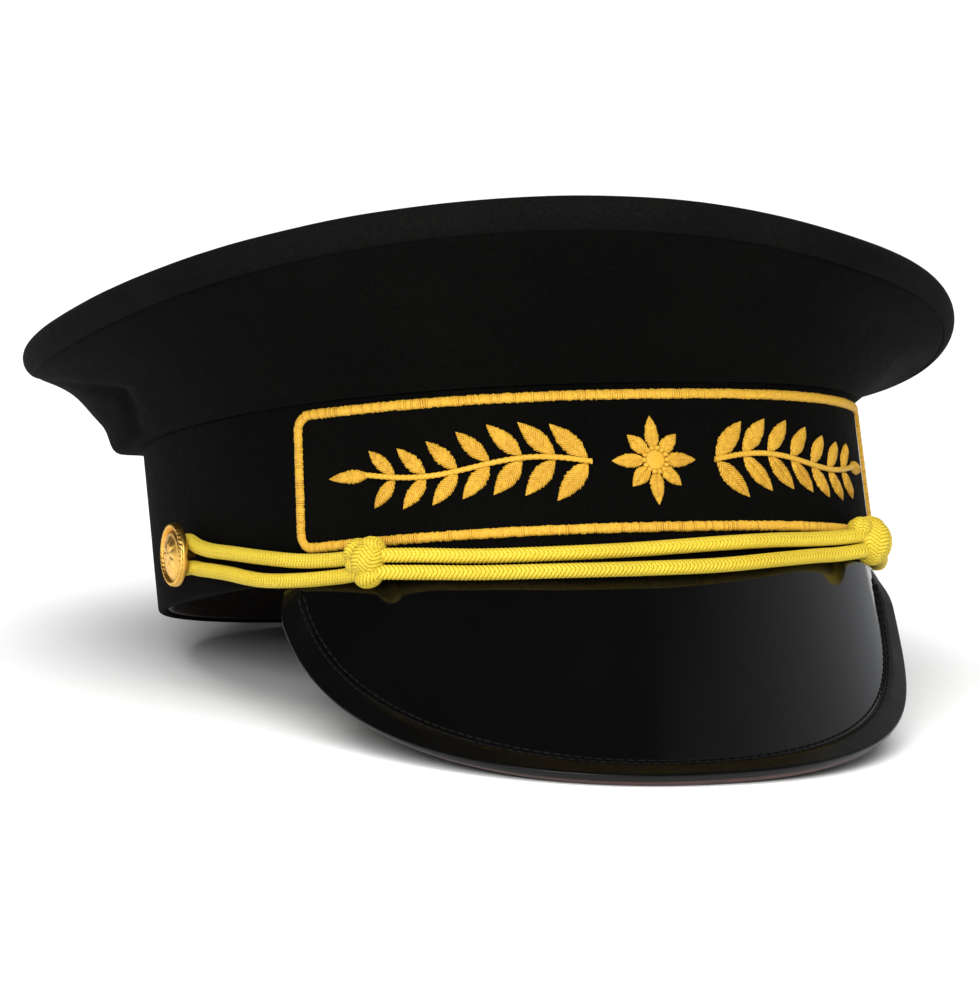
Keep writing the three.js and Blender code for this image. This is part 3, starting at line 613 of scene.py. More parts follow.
# Fine creases of the crown's wall, as lines between two places: angle and share of the slant at each end,
# half width as a share of the slant, and depth in millimetres
CREASES = [
    (-114, 0.84, -107, 0.76, 0.05, 0.7),
    (-107, 0.76, -96, 0.56, 0.045, 1.0),
    (-96, 0.56, -90.5, 0.43, 0.045, 1.2),
    (-90.5, 0.43, -92.5, 0.27, 0.045, 1.4),
    (-92.5, 0.27, -97, 0.1, 0.05, 1.4),
    (62, 0.5, 76, 0.78, 0.07, 0.5),
]
# Degrees round the crown that count like the whole slant in a crease's direction and width
CREASE_TURN = 45


def crease_depth(angle, share):
    """How deep the fine creases are at an angle and a share of the wall's slant."""
    depth = 0
    for angle_a, share_a, angle_b, share_b, half, amount in CREASES:
        step = np.array([(angle_b - angle_a) / CREASE_TURN, share_b - share_a])
        x = np.degrees(np.arctan2(np.sin(angle), np.cos(angle))) / CREASE_TURN - angle_a / CREASE_TURN
        y = share - share_a
        along = np.clip((x * step[0] + y * step[1]) / (step @ step), 0, 1)
        away = np.hypot(x - along * step[0], y - along * step[1])
        depth = np.maximum(depth, amount * hump(away, 0, half))
    return depth * np.sin(math.pi * share) ** 0.5


def ripple(points, seed, sizes, height):
    """A soft, repeatable unevenness of cloth, from waves of several sizes."""
    rng = np.random.default_rng(seed)
    total = np.zeros(points.shape[:-1])
    for size in sizes:
        for _ in range(4):
            direction = unit(rng.normal(size=3))
            phase = rng.uniform(0, 2 * math.pi)
            total += size / sizes[0] * np.sin(points @ direction * 2 * math.pi / size + phase)
    return height * total / 4


def around(count):
    return np.arange(count) * 2 * math.pi / count


# Band

def band_rows(angles, path):
    """Rows of points round the band along a section: distance outward and height."""
    return np.array([band_point(angles, z, np.full(len(angles), d)) for d, z in path])


def make_band():
    angles = around(360)
    half = BAND_WALL / 2
    turn = np.linspace(0, math.pi, 9)
    low = [(half * math.cos(t) - half, half - half * math.sin(t)) for t in turn]
    heights = np.linspace(half, BAND_HEIGHT, 24)
    path = [(0.0, z) for z in heights[::-1]] + low[1:-1] + [(-BAND_WALL, z) for z in heights]
    rows = band_rows(angles, path)
    outward = band_outward(angles)[None]
    wave = ripple(rows, 11, [55, 24, 11], BAND_RIPPLE)
    fade = np.sin(math.pi * np.clip(rows[..., 2] / BAND_HEIGHT, 0, 1))
    rows += outward * (wave * fade)[..., None]
    build = Builder()
    build.grid(rows, wrap_rows=True)
    build.object("band_cloth", [BAND_FELT], "felt", ["band"])


def make_sweatband():
    angles = around(300)
    outer = -BAND_WALL - GAP
    half = SWEATBAND_WALL / 2
    turn = np.linspace(0, math.pi, 7)
    low_z, high_z = SWEATBAND_RAISE + half, SWEATBAND_RAISE + SWEATBAND_HEIGHT - half
    low = [(outer - half + half * math.cos(t), low_z - half * math.sin(t)) for t in turn]
    high = [(outer - half - half * math.cos(t), high_z + half * math.sin(t)) for t in turn]
    walls = np.linspace(low_z, high_z, 14)[1:-1]
    path = low + [(outer - SWEATBAND_WALL, z) for z in walls] + high + [(outer, z) for z in walls[::-1]]
    rows = band_rows(angles, path)
    build = Builder()
    build.grid(rows, wrap_rows=True)
    build.object("sweatband_leather", [LEATHER], "lining", ["sweatband"])


# Crown

def make_crown_wall():
    angles = around(400)
    shares = np.concatenate([np.linspace(0, 0.92, 46), np.linspace(0.93, 1, 10)])
    outer = np.array([wall_point(angles, share, 0.0) for share in shares])
    inner = np.array([wall_point(angles, share, CROWN_WALL) for share in shares])
    # The foot is turned under, so that it meets the band in a soft round edge
    outward = crown_outward(angles)
    foot, _, _, _, slant, _ = crown_section(angles)
    slant_width = CROWN_WALL / np.maximum(np.sin(slant), LEAST_SLANT)
    inner[0] = foot - outward * slant_width[:, None]
    fade = np.sin(math.pi * np.clip(shares, 0, 1))[:, None] ** 0.7
    wave = ripple(outer, 5, [70, 31, 15], WALL_RIPPLE) * fade
    wave -= crease_depth(angles[None], shares[:, None])
    # Cloth bulges below the crease, and a seam joins the wall to the rolled rim
    height, at, half, at_share, spread = BULGE
    wave += height * nearness(angles, at, half)[None] * hump(shares, at_share, spread)[:, None]
    wave -= SEAM_DEPTH * hump(shares, SEAM_SHARE, SEAM_WIDTH)[:, None]
    normal = unit(np.cross(np.gradient(outer, axis=1), np.gradient(outer, axis=0)))
    sign = np.sign((normal * outward[None]).sum(-1).mean())
    for rows in (outer, inner):
        rows += normal * sign * wave[..., None]
    build = Builder()
    # The wall's rows just under the rolled rim take the lighter felt: painted light, as on the rim
    build.grid(outer, mark=np.repeat(np.where(shares[:-1] > SEAM_SHARE - 0.004, 2, 0), len(angles)))
    build.grid(inner, mark=1)
    build.grid(np.stack([outer[0], inner[0]]))
    build.grid(np.stack([outer[-1], inner[-1]]))
    build.object("crown_wall", [FELT, LINING, TOP_FELT_PAINTED_LIGHT], "felt", ["crown_side"])


def make_crown_cover():
    angles = around(400)
    _, centre, outward, _, slant, _ = crown_section(angles)
    start = slant - math.pi / 2

    def roll(share, radius):
        turn = start + (math.pi / 2 - start) * share
        return centre + outward * (radius * np.cos(turn))[:, None] + stacked(0.0, 0.0, radius * np.sin(turn))

    def top(share, radius):
        return crown_point(angles, share, radius - TOP_SAG * (1 - share**2))

    steps = np.linspace(0, 1, 18)
    shares = 1 - (np.linspace(0, 1, 38)[1:-1]) ** 1.3
    outer = np.array([roll(s, ROLL_RADIUS) for s in steps] + [top(s, ROLL_RADIUS) for s in shares])
    inner_radius = ROLL_RADIUS - CROWN_WALL
    inner = np.array([roll(s, inner_radius) for s in steps] + [top(s, inner_radius) for s in shares])
    wave = ripple(outer, 8, [80, 36, 17], TOP_RIPPLE)
    wave[: len(steps)] *= np.linspace(0, 1, len(steps))[:, None]
    for rows in (outer, inner):
        rows[..., 2] += wave
    build = Builder()
    build.grid(outer)
    build.grid(inner, mark=1)
    build.grid(np.stack([outer[0], inner[0]]))
    build.fan(outer[-1].mean(0), outer[-1])
    build.fan(inner[-1].mean(0), inner[-1], 1)
    # The cover takes the lighter felt: painted light on the top and the rolled rim
    build.object("crown_cover", [TOP_FELT_PAINTED_LIGHT, LINING], "felt", ["crown_top"])


# Peak

def peak_depth(angle):
    share = np.minimum(1, np.abs(angle) / PEAK_HALF_ANGLE)
    return PEAK_END_DEPTH + (PEAK_DEPTH - PEAK_END_DEPTH) * (1 - share**PEAK_SHAPE_POWER) ** PEAK_CORNER_POWER


def peak_slope(angle):
    share = angle / PEAK_HALF_ANGLE
    return np.radians(PEAK_FRONT_SLOPE + (PEAK_SIDE_SLOPE - PEAK_FRONT_SLOPE) * share**2)


def peak_point(angle, down):
    angle, down = np.broadcast_arrays(np.asarray(angle, float), np.asarray(down, float))
    slope = peak_slope(angle)
    ahead = band_outward(angle) * (1 - PEAK_FORWARD_SHARE)
    ahead[..., 1] -= PEAK_FORWARD_SHARE
    ahead = unit(ahead)
    hollow = 4 * PEAK_HOLLOW * (down / PEAK_DEPTH) * (1 - down / PEAK_DEPTH)
    run = down * np.cos(slope) - hollow * np.sin(slope)
    drop = down * np.sin(slope) + hollow * np.cos(slope)
    return band_point(angle - PEAK_TURN, 0.0) + ahead * run[..., None] + stacked(0.0, 0.0, -GAP - drop)


def peak_tangents(angle, down):
    turn, step = 1e-3, 0.1
    around_it = (peak_point(angle + turn, down) - peak_point(angle - turn, down)) / (2 * turn)
    along = (peak_point(angle, down + step) - peak_point(angle, down - step)) / (2 * step)
    return around_it, along, unit(np.cross(along, around_it))


def edge_angles(count, drop=0.0):
    """Angles evenly spaced along the peak's edge, where it is deeper than a drop."""
    fine = PEAK_HALF_ANGLE * np.sin(math.pi * (np.linspace(0, 1, 8001) - 0.5))
    fine = fine[peak_depth(fine) > drop]
    run = run_along(peak_point(fine, peak_depth(fine)))
    return np.interp(np.linspace(0, run[-1], count), run, fine)


def inside_edge(angle, inset):
    """Angle and distance down of the points that lie inside the peak's edge by a distance."""
    nudge = 1e-4
    before = peak_point(angle - nudge, peak_depth(angle - nudge))
    after = peak_point(angle + nudge, peak_depth(angle + nudge))
    depth = peak_depth(angle)
    normal = peak_tangents(angle, depth)[2]
    target = peak_point(angle, depth) + unit(np.cross(normal, after - before)) * inset
    at, down = angle.copy(), depth.copy()
    for _ in range(4):
        away = target - peak_point(at, down)
        r_axis, a_axis, _ = peak_tangents(at, down)
        rr, aa, ra = (r_axis**2).sum(-1), (a_axis**2).sum(-1), (r_axis * a_axis).sum(-1)
        r, a = (r_axis * away).sum(-1), (a_axis * away).sum(-1)
        scale = rr * aa - ra * ra
        at, down = at + (r * aa - a * ra) / scale, down + (a * rr - r * ra) / scale
    return at, down


def lip_place(angle, inset):
    """Angle, distance down and height over the plain face at a distance inside the edge."""
    at, down = inside_edge(angle, inset)
    width = max(0.0, LIP_WIDTH - inset)
    share = np.minimum(1, peak_depth(angle) / LIP_FADE)
    raised = width**2 / (2 * LIP_BEND) if width < LIP_BEND else width - LIP_BEND / 2
    return at, down, LIP_RISE * share**2 * (3 - 2 * share) * raised


def over_lip(lip, outward):
    """Points off the lip's outer face by a distance."""
    at, down, raised = lip
    off = np.asarray(raised + outward, float)
    return peak_point(at, down) + peak_tangents(at, down)[2] * off[..., None]


def make_peak():
    """The moulded sheet, with a lip turned outward along its edge."""
    angles = edge_angles(220)
    start, deep, _ = lip_place(angles, LIP_WIDTH)
    places = [(start, deep * share, 0.0) for share in np.linspace(0, 1, 36)[:-1]]
    places += [lip_place(angles, inset) for inset in np.linspace(LIP_WIDTH, 0, 16)]
    outer = np.array([over_lip(each, 0.0) for each in places])
    inner = np.array([over_lip(each, -PEAK_WALL) for each in places])
    build = Builder()
    build.grid(outer, wrap_count=False)
    build.grid(inner, wrap_count=False, mark=1)
    for row in (0, -1):
        build.grid(np.stack([outer[row], inner[row]]), wrap_count=False, mark=1)
        build.grid(np.stack([outer[:, row], inner[:, row]]), wrap_count=False, mark=1)
    build.object("peak_patent", [PATENT, EDGE_PATENT], "patent", ["peak"])


def make_binding():
    """The bound edge: a padded strip folded over the lip, with a raw edge at the fold."""
    angles = edge_angles(240, BINDING_START)
    taper = np.clip((peak_depth(angles) - BINDING_THIN) / (BINDING_WHOLE - BINDING_THIN), 0.15, 1)
    lift = (GAP + BINDING_WALL) * taper
    under = -PEAK_WALL - lift
    insets = np.linspace(LIP_WIDTH, 0, 16)
    faces = [lip_place(angles, inset) for inset in insets]
    # The strip is rounded down to the peak's face along its inner side
    rounding = [(0.12 + 0.88 * min(1, (LIP_WIDTH - inset) / 1.6)) ** 0.8 for inset in insets]
    rows = [over_lip(face, lift * share) for face, share in zip(faces, rounding)]
    edge = faces[-1]
    beyond = unit(over_lip(edge, 0.0) - over_lip(faces[9], 0.0))
    middle, half = (lift + under) / 2, (lift - under) / 2
    for turn in np.linspace(math.pi / 2, -math.pi / 2, 11)[1:-1]:
        reach = lift * math.cos(turn)
        rows.append(over_lip(edge, middle + half * math.sin(turn)) + beyond * reach[:, None])
    rows += [over_lip(face, under) for face in faces[::-1]]
    rows += [over_lip(faces[0], -PEAK_WALL - 0.02), over_lip(faces[0], 0.02)]
    rows = np.array(rows)
    build = Builder()
    count = len(insets)
    build.grid(rows[: count + 5], wrap_count=False)
    build.grid(rows[count + 4 : count + 9], wrap_count=False, mark=1)
    build.grid(rows[count + 8 :], wrap_count=False)
    build.grid(np.stack([rows[-1], rows[0]]), wrap_count=False)
    for end in (0, -1):
        build.fan(rows[:, end].mean(0), rows[:, end])
    build.object("peak_edge", [EDGE_PATENT, EDGE_RAW], "patent", ["peak_binding"])


def capsule(middle, along, across, out, length, width, height, sides=8, rings=5):
    """Points and faces of a small stitch: a long rounded bar."""
    turn = np.linspace(0, math.pi, rings + 2)[1:-1]
    phi = around(sides)
    ring_points = []
    for t in turn:
        x, r = -math.cos(t), math.sin(t) ** 0.6
        ring_points.append(
            middle + along * (x * length / 2)
            + across * (r * width / 2 * np.cos(phi))[:, None] + out * (r * height * np.sin(phi))[:, None]
        )
    points = np.vstack([*ring_points, middle - along * length / 2, middle + along * length / 2])
    faces = grid_faces(rings, sides).tolist()
    last = rings * sides
    for i in range(sides):
        j = (i + 1) % sides
        faces.append([i, j, last])
        faces.append([(rings - 1) * sides + j, (rings - 1) * sides + i, last + 1])
    return points, faces


def resampled(points, others, step):
    """Points evenly spaced along a line, and the other rows at the same places."""
    run = run_along(points)
    count = max(2, int(round(run[-1] / step)))
    at = np.linspace(0, run[-1], count + 1)

    def pick(rows):
        return np.stack([np.interp(at, run, rows[:, k]) for k in range(rows.shape[1])], -1)

    return at, pick(points), [pick(rows) for rows in others]


def make_peak_stitches():
    """Two close rows of stitches along the binding's inner side."""
    build = Builder()
    for inset, lift in STITCH_ROWS:
        angles = edge_angles(1200, STITCHES_START)
        lip = lip_place(angles, inset)
        points = over_lip(lip, lift)
        normals = peak_tangents(lip[0], lip[1])[2]
        _, points, (normals,) = resampled(points, [normals], PEAK_STITCH / 2)
        for i in range(1, len(points) - 1, 2):
            along = unit(points[i + 1] - points[i - 1])
            out = unit(normals[i])
            size = (0.84 * PEAK_STITCH, PEAK_STITCH_WIDTH, PEAK_STITCH_HEIGHT)
            build.add(*capsule(points[i], along, np.cross(along, out), out, *size))
    build.object("peak_stitches", [BLACK_THREAD], "patent", weld=False, sharp=60)


# Embroidery

def stitched(build, name, node, weld=False):
    """A finished piece of gold embroidery, with painted shade in the dips between some stitches."""
    build.object(name, [GOLD, GOLD_PAINTED_SHADE], "gold_thread", [node], sharp=70, weld=weld)


def make_border():
    """A rounded rectangle in satin stitch, with every stitch laid across it."""
    half_length = BORDER_HALF_LENGTH - BORDER_WIDTH / 2
    low, high = BORDER_LOW + BORDER_WIDTH / 2, BORDER_HIGH - BORDER_WIDTH / 2
    corner = BORDER_CORNER - BORDER_WIDTH / 2
    outline = []
    for x, y, start in (
        (half_length - corner, low + corner, -90), (half_length - corner, high - corner, 0),
        (corner - half_length, high - corner, 90), (corner - half_length, low + corner, 180),
    ):
        for turn in np.radians(np.linspace(start, start + 90, 16)):
            outline.append((x + corner * math.cos(turn), y + corner * math.sin(turn)))
    outline.append(outline[0])
    line = np.array(outline)
    # The end at the wearer's right leans as photographed
    line[:, 0] += 0.1 * (line[:, 1] - MOTIF_HEIGHT) * np.clip((-line[:, 0] - 70) / 20, 0, 1)
    run, line, _ = resampled(line, [], STITCH_PITCH / BORDER_STEPS)
    run, line = run[:-1], line[:-1]
    stitches = round(len(run) / BORDER_STEPS)
    along = unit(np.roll(line, -1, 0) - np.roll(line, 1, 0))
    side = np.stack([along[:, 1], -along[:, 0]], -1)
    rng = np.random.default_rng(21)
    index = (np.arange(len(run)) * stitches / len(run)).astype(int)
    left, right = rng.uniform(-0.14, 0.1, stitches)[index], rng.uniform(-0.14, 0.1, stitches)[index]
    raise_by = rng.uniform(-0.05, 0.04, stitches)[index]
    rib = np.abs(np.sin(math.pi * np.arange(len(run)) * stitches / len(run))) ** 0.5
    across = np.cos(np.linspace(0, math.pi, 10))
    rows = []
    for v in across:
        reach = BORDER_WIDTH / 2 + (left if v < 0 else right) * abs(v)
        place_2d = line + side * (v * reach * (0.92 + 0.08 * rib))[:, None]
        dome = (1 - abs(v) ** 2.6) ** 0.5
        height = 0.1 + (STITCH_DEPTH + 0.15 + raise_by) * dome * (0.74 + 0.26 * rib)
        rows.append(over_band(*place_2d.T, height))
    for v in (-1.0, 1.0):
        rows.append(over_band(*(line + side * v).T, np.full(len(run), 0.04)))
    build = Builder()
    # A quarter of the stitches, picked at random, get painted shade in the dips between stitches
    gets_painted_shade = rng.uniform(0, 1, stitches)[index] < 0.25
    build.grid(np.array(rows), wrap_rows=True, mark=np.tile((rib < 0.72) & gets_painted_shade, len(rows)))
    stitched(build, "border_stitching", "panel_border", weld=True)


def leaf_rows(build, x, y, length, width, direction, rng, fold=0.0):
    """A pointed leaf in satin stitch, with its stitches slanting from the midrib."""
    u = np.linspace(0, 1, max(24, int(length / STITCH_PITCH * LEAF_STEPS)))
    # The outline is the same curve as the solid's: a quadratic from the base to the tip
    t = np.linspace(0, 1, 200)
    xs, ys = 2 * t * (1 - t) * 0.4 + t**2, 2 * t * (1 - t)
    half = np.interp(u, xs, ys) * width
    v = np.linspace(-1, 1, 17)
    uu, vv = np.meshgrid(u, v, indexing="ij")
    reach = half[:, None] * np.ones_like(vv)
    local_x = uu * length
    phase = (local_x - 0.75 * np.abs(vv * reach)) / STITCH_PITCH
    rib = np.abs(np.sin(math.pi * phase)) ** 0.6
    ends = rng.uniform(-0.1, 0.06, 80)[np.floor(phase).astype(int) % 80]
    local_y = vv * reach * (1 + (ends - 0.12 * (1 - rib)) * np.abs(vv))
    dome = (1 - np.abs(vv) ** 2.4) ** 0.5
    groove = hump(vv, 0, 0.13)
    size = np.minimum(1, reach / (0.35 * width))
    height = (STITCH_DEPTH * 1.12) * dome * size * (0.62 + 0.38 * rib) * (1 - 0.3 * groove) + fold
    c, s = math.cos(direction), math.sin(direction)
    arc = x + local_x * c - local_y * s
    tall = MOTIF_HEIGHT + y + local_x * s + local_y * c
    # Seven in ten stitches, picked at random, get painted shade in the dips between them
    gets_painted_shade = rng.uniform(0, 1, 80)[np.floor(phase).astype(int) % 80] < 0.7
    painted_shade_faces = (rib < 0.62) & gets_painted_shade
    build.grid(over_band(arc, tall, height + 0.06), wrap_count=False, mark=painted_shade_faces[:-1, :-1].ravel())


def tube_rings(line, sides, outs, radii, turn, flat=1.0):
    """Rings of points round a line, with a radius for each point of each ring."""
    return line[:, None] + radii[..., None] * (
        unit(sides)[:, None] * np.sin(turn)[None, :, None]
        + flat * unit(outs)[:, None] * np.cos(turn)[None, :, None]
    )


def twisted(build, centres, sides, outs, radius, flat, lay, depth, close=False):
    """A tube of two twisted strands along a line of points."""
    _, centres, (sides, outs) = resampled(centres, [sides, outs], lay / 6)
    run = np.arange(len(centres)) * lay / 6
    turn = around(12)
    bulge = 1 - depth + depth * np.abs(np.sin(turn[None] + math.pi * run[:, None] / lay))
    rings = tube_rings(centres, sides, outs, radius * bulge, turn, flat)
    if close:
        build.grid(rings[:-1], wrap_rows=True)
    else:
        build.tube(rings)


def make_rosette():
    build = Builder()
    rng = np.random.default_rng(31)
    for i in range(8):
        direction = 2 * math.pi * i / 8 + math.pi / 2
        reach = ROSETTE_RADIUS if i % 2 == 0 else 0.82 * ROSETTE_RADIUS
        base = 0.62 * ROSETTE_HUB
        x, y = base * math.cos(direction), base * math.sin(direction)
        leaf_rows(build, x, y, reach - base, PETAL_WIDTH, direction, rng, 0.1 if i % 2 else 0.0)
    # The hub is a padded disc with a ring of knots round it
    radii = np.linspace(1, 0, 9)[:-1]
    turn = around(40)
    disc, ring = ROSETTE_HUB * 0.86, ROSETTE_HUB * 0.92
    rows = [over_band(
        disc * r * np.cos(turn), MOTIF_HEIGHT + disc * r * np.sin(turn),
        np.full(40, 0.3 + STITCH_DEPTH * 1.25 * (1 - r**2) ** 0.5) + 0.07 * np.abs(np.sin(8 * turn + 9 * r)),
    ) for r in radii]
    build.grid(np.array(rows))
    build.fan(over_band(0.0, MOTIF_HEIGHT, 0.3 + STITCH_DEPTH * 1.3), rows[-1])
    for i in range(14):
        turn_i = 2 * math.pi * i / 14
        arc, tall = ring * math.cos(turn_i), MOTIF_HEIGHT + ring * math.sin(turn_i)
        middle = over_band(arc, tall, STITCH_DEPTH * 1.05)
        out = band_outward(angle_at(arc))
        side = unit(np.cross(UP, out))
        build.add(*capsule(middle, side, UP, out, 1.25, 1.2, 0.6))
    stitched(build, "rosette_stitching", "motif_centre")


def make_sprig(side, name, node):
    build = Builder()
    rng = np.random.default_rng(41 if side > 0 else 43)
    tip = SPRIG_LENGTH - LEAF_LENGTH

    def wave(along):
        return SPRIG_WAVE * np.sin(2 * math.pi * along / tip)

    for pair in range(SPRIG_PAIRS):
        along = tip * (pair + 0.1) / SPRIG_PAIRS
        size = 1 - LEAF_TAPER * pair / SPRIG_PAIRS
        for turn in (1, -1):
            direction = turn * LEAF_ANGLE
            facing = direction if side > 0 else math.pi - direction
            x, y = side * (SPRIG_START + along), float(wave(along)) + turn * 0.3
            leaf_rows(build, x, y, LEAF_LENGTH * size, LEAF_WIDTH * size, facing, rng)
    facing = 0 if side > 0 else math.pi
    last_width = LEAF_WIDTH * (1 - LEAF_TAPER)
    leaf_rows(build, side * (SPRIG_START + tip - 1), float(wave(tip)), LEAF_LENGTH, last_width, facing, rng)
    along = np.linspace(0, tip, 160)
    arcs, heights = side * (SPRIG_START + along), MOTIF_HEIGHT + wave(along)
    outs = band_outward(angle_at(arcs))
    ups = np.tile(UP, (len(outs), 1))
    centres = over_band(arcs, heights, np.full(len(arcs), 0.75))
    twisted(build, centres, ups, outs, STEM_RADIUS, 0.75, lay=1.5, depth=0.22)
    stitched(build, name, node)


# Chin cord

def resting_offset(arc, height):
    angle = angle_at(arc)
    peak_angle = angle + PEAK_TURN
    clear = STRAND_RADIUS + GAP
    slope = peak_slope(peak_angle)
    outward_run = np.cos(slope) * np.maximum(0, -band_outward(angle)[..., 1])
    drop = np.sin(slope)
    size = np.hypot(outward_run, drop)
    over = np.maximum(clear, (clear * size - (height + GAP) * outward_run) / drop)
    return np.where(np.abs(peak_angle) > PEAK_HALF_ANGLE, clear, over)


KNOT_OFFSET = GAP + STITCH_DEPTH + GAP + KNOT_DEPTH / 2


def strand_line(route, end):
    """Points and frames along a strand's middle line, between its ends at the two buttons."""
    left = [(BUTTON_ARC + further, BUTTON_HEIGHT + above) for further, above in end]
    right = [(-arc, height) for arc, height in left[::-1]]
    arcs, heights = np.array(right + route + left, float).T
    resting = resting_offset(arcs, heights)
    away = np.minimum(np.abs(arcs - RIGHT_KNOT[0]), np.abs(arcs - LEFT_KNOT[0]))
    share = np.clip(1 - away / KNOT_APPROACH, 0, 1)
    share = share * share * (3 - 2 * share)
    knots = over_band(arcs, heights, resting + (KNOT_OFFSET - resting) * share)
    line = centripetal(knots)
    angle = np.arctan2(line[:, 0] / BAND_HALF_WIDTH, -line[:, 1] / BAND_HALF_LENGTH)
    outs = band_outward(angle)
    along = unit(np.gradient(line, axis=0))
    ups = unit(np.cross(outs, along))
    ups *= np.sign(ups[:, 2:3])
    outs = unit(np.cross(along, ups))
    outs *= np.sign((outs * band_outward(angle)).sum(-1, keepdims=True))
    return line, ups, outs


def mix(t, start, stop, a, b):
    """A point on the way from a to b, by where t is between start and stop."""
    return (stop - t) / (stop - start) * a + (t - start) / (stop - start) * b


def centripetal(knots, per_span=30):
    """A smooth line through points, with the same spacing rule as the solid's curve."""
    ends = np.vstack([2 * knots[0] - knots[1], knots, 2 * knots[-1] - knots[-2]])
    line = []
    for i in range(1, len(ends) - 2):
        p0, p1, p2, p3 = ends[i - 1 : i + 3]
        t0 = 0.0
        t1 = t0 + np.linalg.norm(p1 - p0) ** 0.5
        t2 = t1 + np.linalg.norm(p2 - p1) ** 0.5
        t3 = t2 + np.linalg.norm(p3 - p2) ** 0.5
        for t in np.linspace(t1, t2, per_span, endpoint=False):
            a1, a2, a3 = mix(t, t0, t1, p0, p1), mix(t, t1, t2, p1, p2), mix(t, t2, t3, p2, p3)
            line.append(mix(t, t1, t2, mix(t, t0, t2, a1, a2), mix(t, t1, t3, a2, a3)))
    line.append(knots[-1])
    return np.array(line)


def plait(run, turn, columns, pitch):
    """How far plaited ribs stand back, and where their valleys are, which get painted shade, by the run and
    the turn round a cord.
    """
    column = columns * turn / (2 * math.pi)
    place_in = column - np.floor(column)
    slant = np.where(np.floor(column) % 2 == 0, 1.0, -1.0) * (place_in - 0.5) * 1.5
    rib = np.abs(np.sin(math.pi * (run[:, None] / pitch + slant[None]))) ** 0.6
    pillow = np.sin(math.pi * place_in)[None] ** 0.5
    return RIB_SHARE * (1 - rib) + (1 - RIB_SHARE) * (1 - pillow), rib < VALLEY_HEIGHT


def braid(build, line, ups, outs, radius):
    """A cord of four plaited columns, whose stitches slant in turn to both sides."""
    run, line, (ups, outs) = resampled(line, [ups, outs], BRAID_PITCH / 8)
    turn = around(32)
    back, painted_valley = plait(run, turn, 4, BRAID_PITCH)
    rings = tube_rings(line, ups, outs, radius - PLAIT_DEPTH * back, turn)
    build.tube(rings, painted_valley[:-1].ravel())


def make_cord(name, route, end, node):
    build = Builder()
    line, ups, outs = strand_line(route, end)
    braid(build, line, ups, outs, BRAID_RADIUS)
    build.object(name, [YELLOW, YELLOW_PAINTED_SHADE], "yellow_cord", [node], sharp=80, weld=False)


def make_knot(name, place_on_band, node, lobes):
    """A round knot: turns of the same plaited cord, pulled tight into rounded lobes."""
    arc, height = place_on_band
    out = band_outward(angle_at(arc))
    along = unit(np.cross(UP, out))
    middle = over_band(arc, height, KNOT_OFFSET)
    build = Builder()
    for sideways, raised, forward, long, wide, deep, lean, columns in lobes:
        centre = middle + along * sideways + UP * raised + out * forward
        lean = math.radians(lean)
        axis = along * math.cos(lean) + UP * math.sin(lean)
        across = UP * math.cos(lean) - along * math.sin(lean)
        polar = np.linspace(0.06, math.pi - 0.06, int(math.pi * long / BRAID_PITCH * 8))
        turn = around(columns * 9)
        back, painted_valley = plait(long * polar, turn, columns, BRAID_PITCH)
        swell = np.sin(polar)[:, None]
        depth = PLAIT_DEPTH * back * swell**0.5
        x = -(long - depth) * np.cos(polar)[:, None]
        y = (wide - depth) * swell * np.sin(turn)[None]
        z = (deep - depth) * swell * np.cos(turn)[None]
        rings = centre + x[..., None] * axis + y[..., None] * across + z[..., None] * out
        build.tube(rings, painted_valley[:-1].ravel())
    build.object(name, [YELLOW, YELLOW_PAINTED_SHADE], "yellow_cord", [node], sharp=80, weld=False)


# Buttons

def make_button(name, arc, node):
    """A domed gilt button with a roped rim, a beaded ring and a petalled middle."""
    axis = band_outward(angle_at(arc))
    side = unit(np.cross(UP, axis))
    seat = over_band(arc, BUTTON_HEIGHT, 0.0)
    back = 2 * GAP + 2 * STRAND_RADIUS + GAP
    face = back + BUTTON_RIM
    turn = around(96)

    def ring(radius, height):
        radius, height = np.broadcast_to(radius, turn.shape), np.broadcast_to(height, turn.shape)
        across = side * (radius * np.cos(turn))[:, None] + UP * (radius * np.sin(turn))[:, None]
        return seat + axis * height[:, None] + across

    r, rim = BUTTON_RADIUS, BUTTON_RIM
    rows = [
        ring(SHANK_RADIUS, GAP), ring(SHANK_RADIUS, back), ring(r - rim / 3, back),
        ring(r - 0.1, back + rim / 6), ring(r, back + rim / 3), ring(r, face - rim / 3),
        ring(r - 0.15, face - rim / 6), ring(r - 0.5, face - 0.05), ring(r - 1.3, face - 0.1),
        ring(r - 1.5, face - 0.35),
    ]
    for radius in np.linspace(0.78, 0.04, 26) * r:
        share = radius / r
        dome = face - 0.35 + (BUTTON_DOME + 0.35) * (1 - (share / 0.8) ** 2)
        height, at, spread = BUTTON_PETALS
        petal = height * max(0.0, 1 - abs(share - at) / spread) * np.abs(np.cos(4 * turn)) ** 0.7
        beads = BUTTON_BEADS[0] * hump(share, *BUTTON_BEADS[1:]) * np.abs(np.cos(16 * turn))
        hub = BUTTON_HUB[0] * hump(share, *BUTTON_HUB[1:])
        rows.append(ring(radius, dome + petal + beads + hub))
    build = Builder()
    build.grid(np.array(rows))
    build.fan(seat + axis * (face + BUTTON_DOME + 0.2), rows[-1])
    build.fan(seat + axis * GAP, rows[0][::-1])
    # The rope round the rim
    circle = np.linspace(0, 2 * math.pi, 400)
    radial = side * np.cos(circle)[:, None] + UP * np.sin(circle)[:, None]
    centres = seat + axis * (face - 0.25) + radial * (r - 0.75)
    axes = np.tile(axis, (len(circle), 1))
    twisted(build, centres, radial, axes, 0.72, 1.0, lay=1.25, depth=0.3, close=True)
    build.object(name, [BRASS], "brass", [node], sharp=50, weld=False)


# Stage and lights

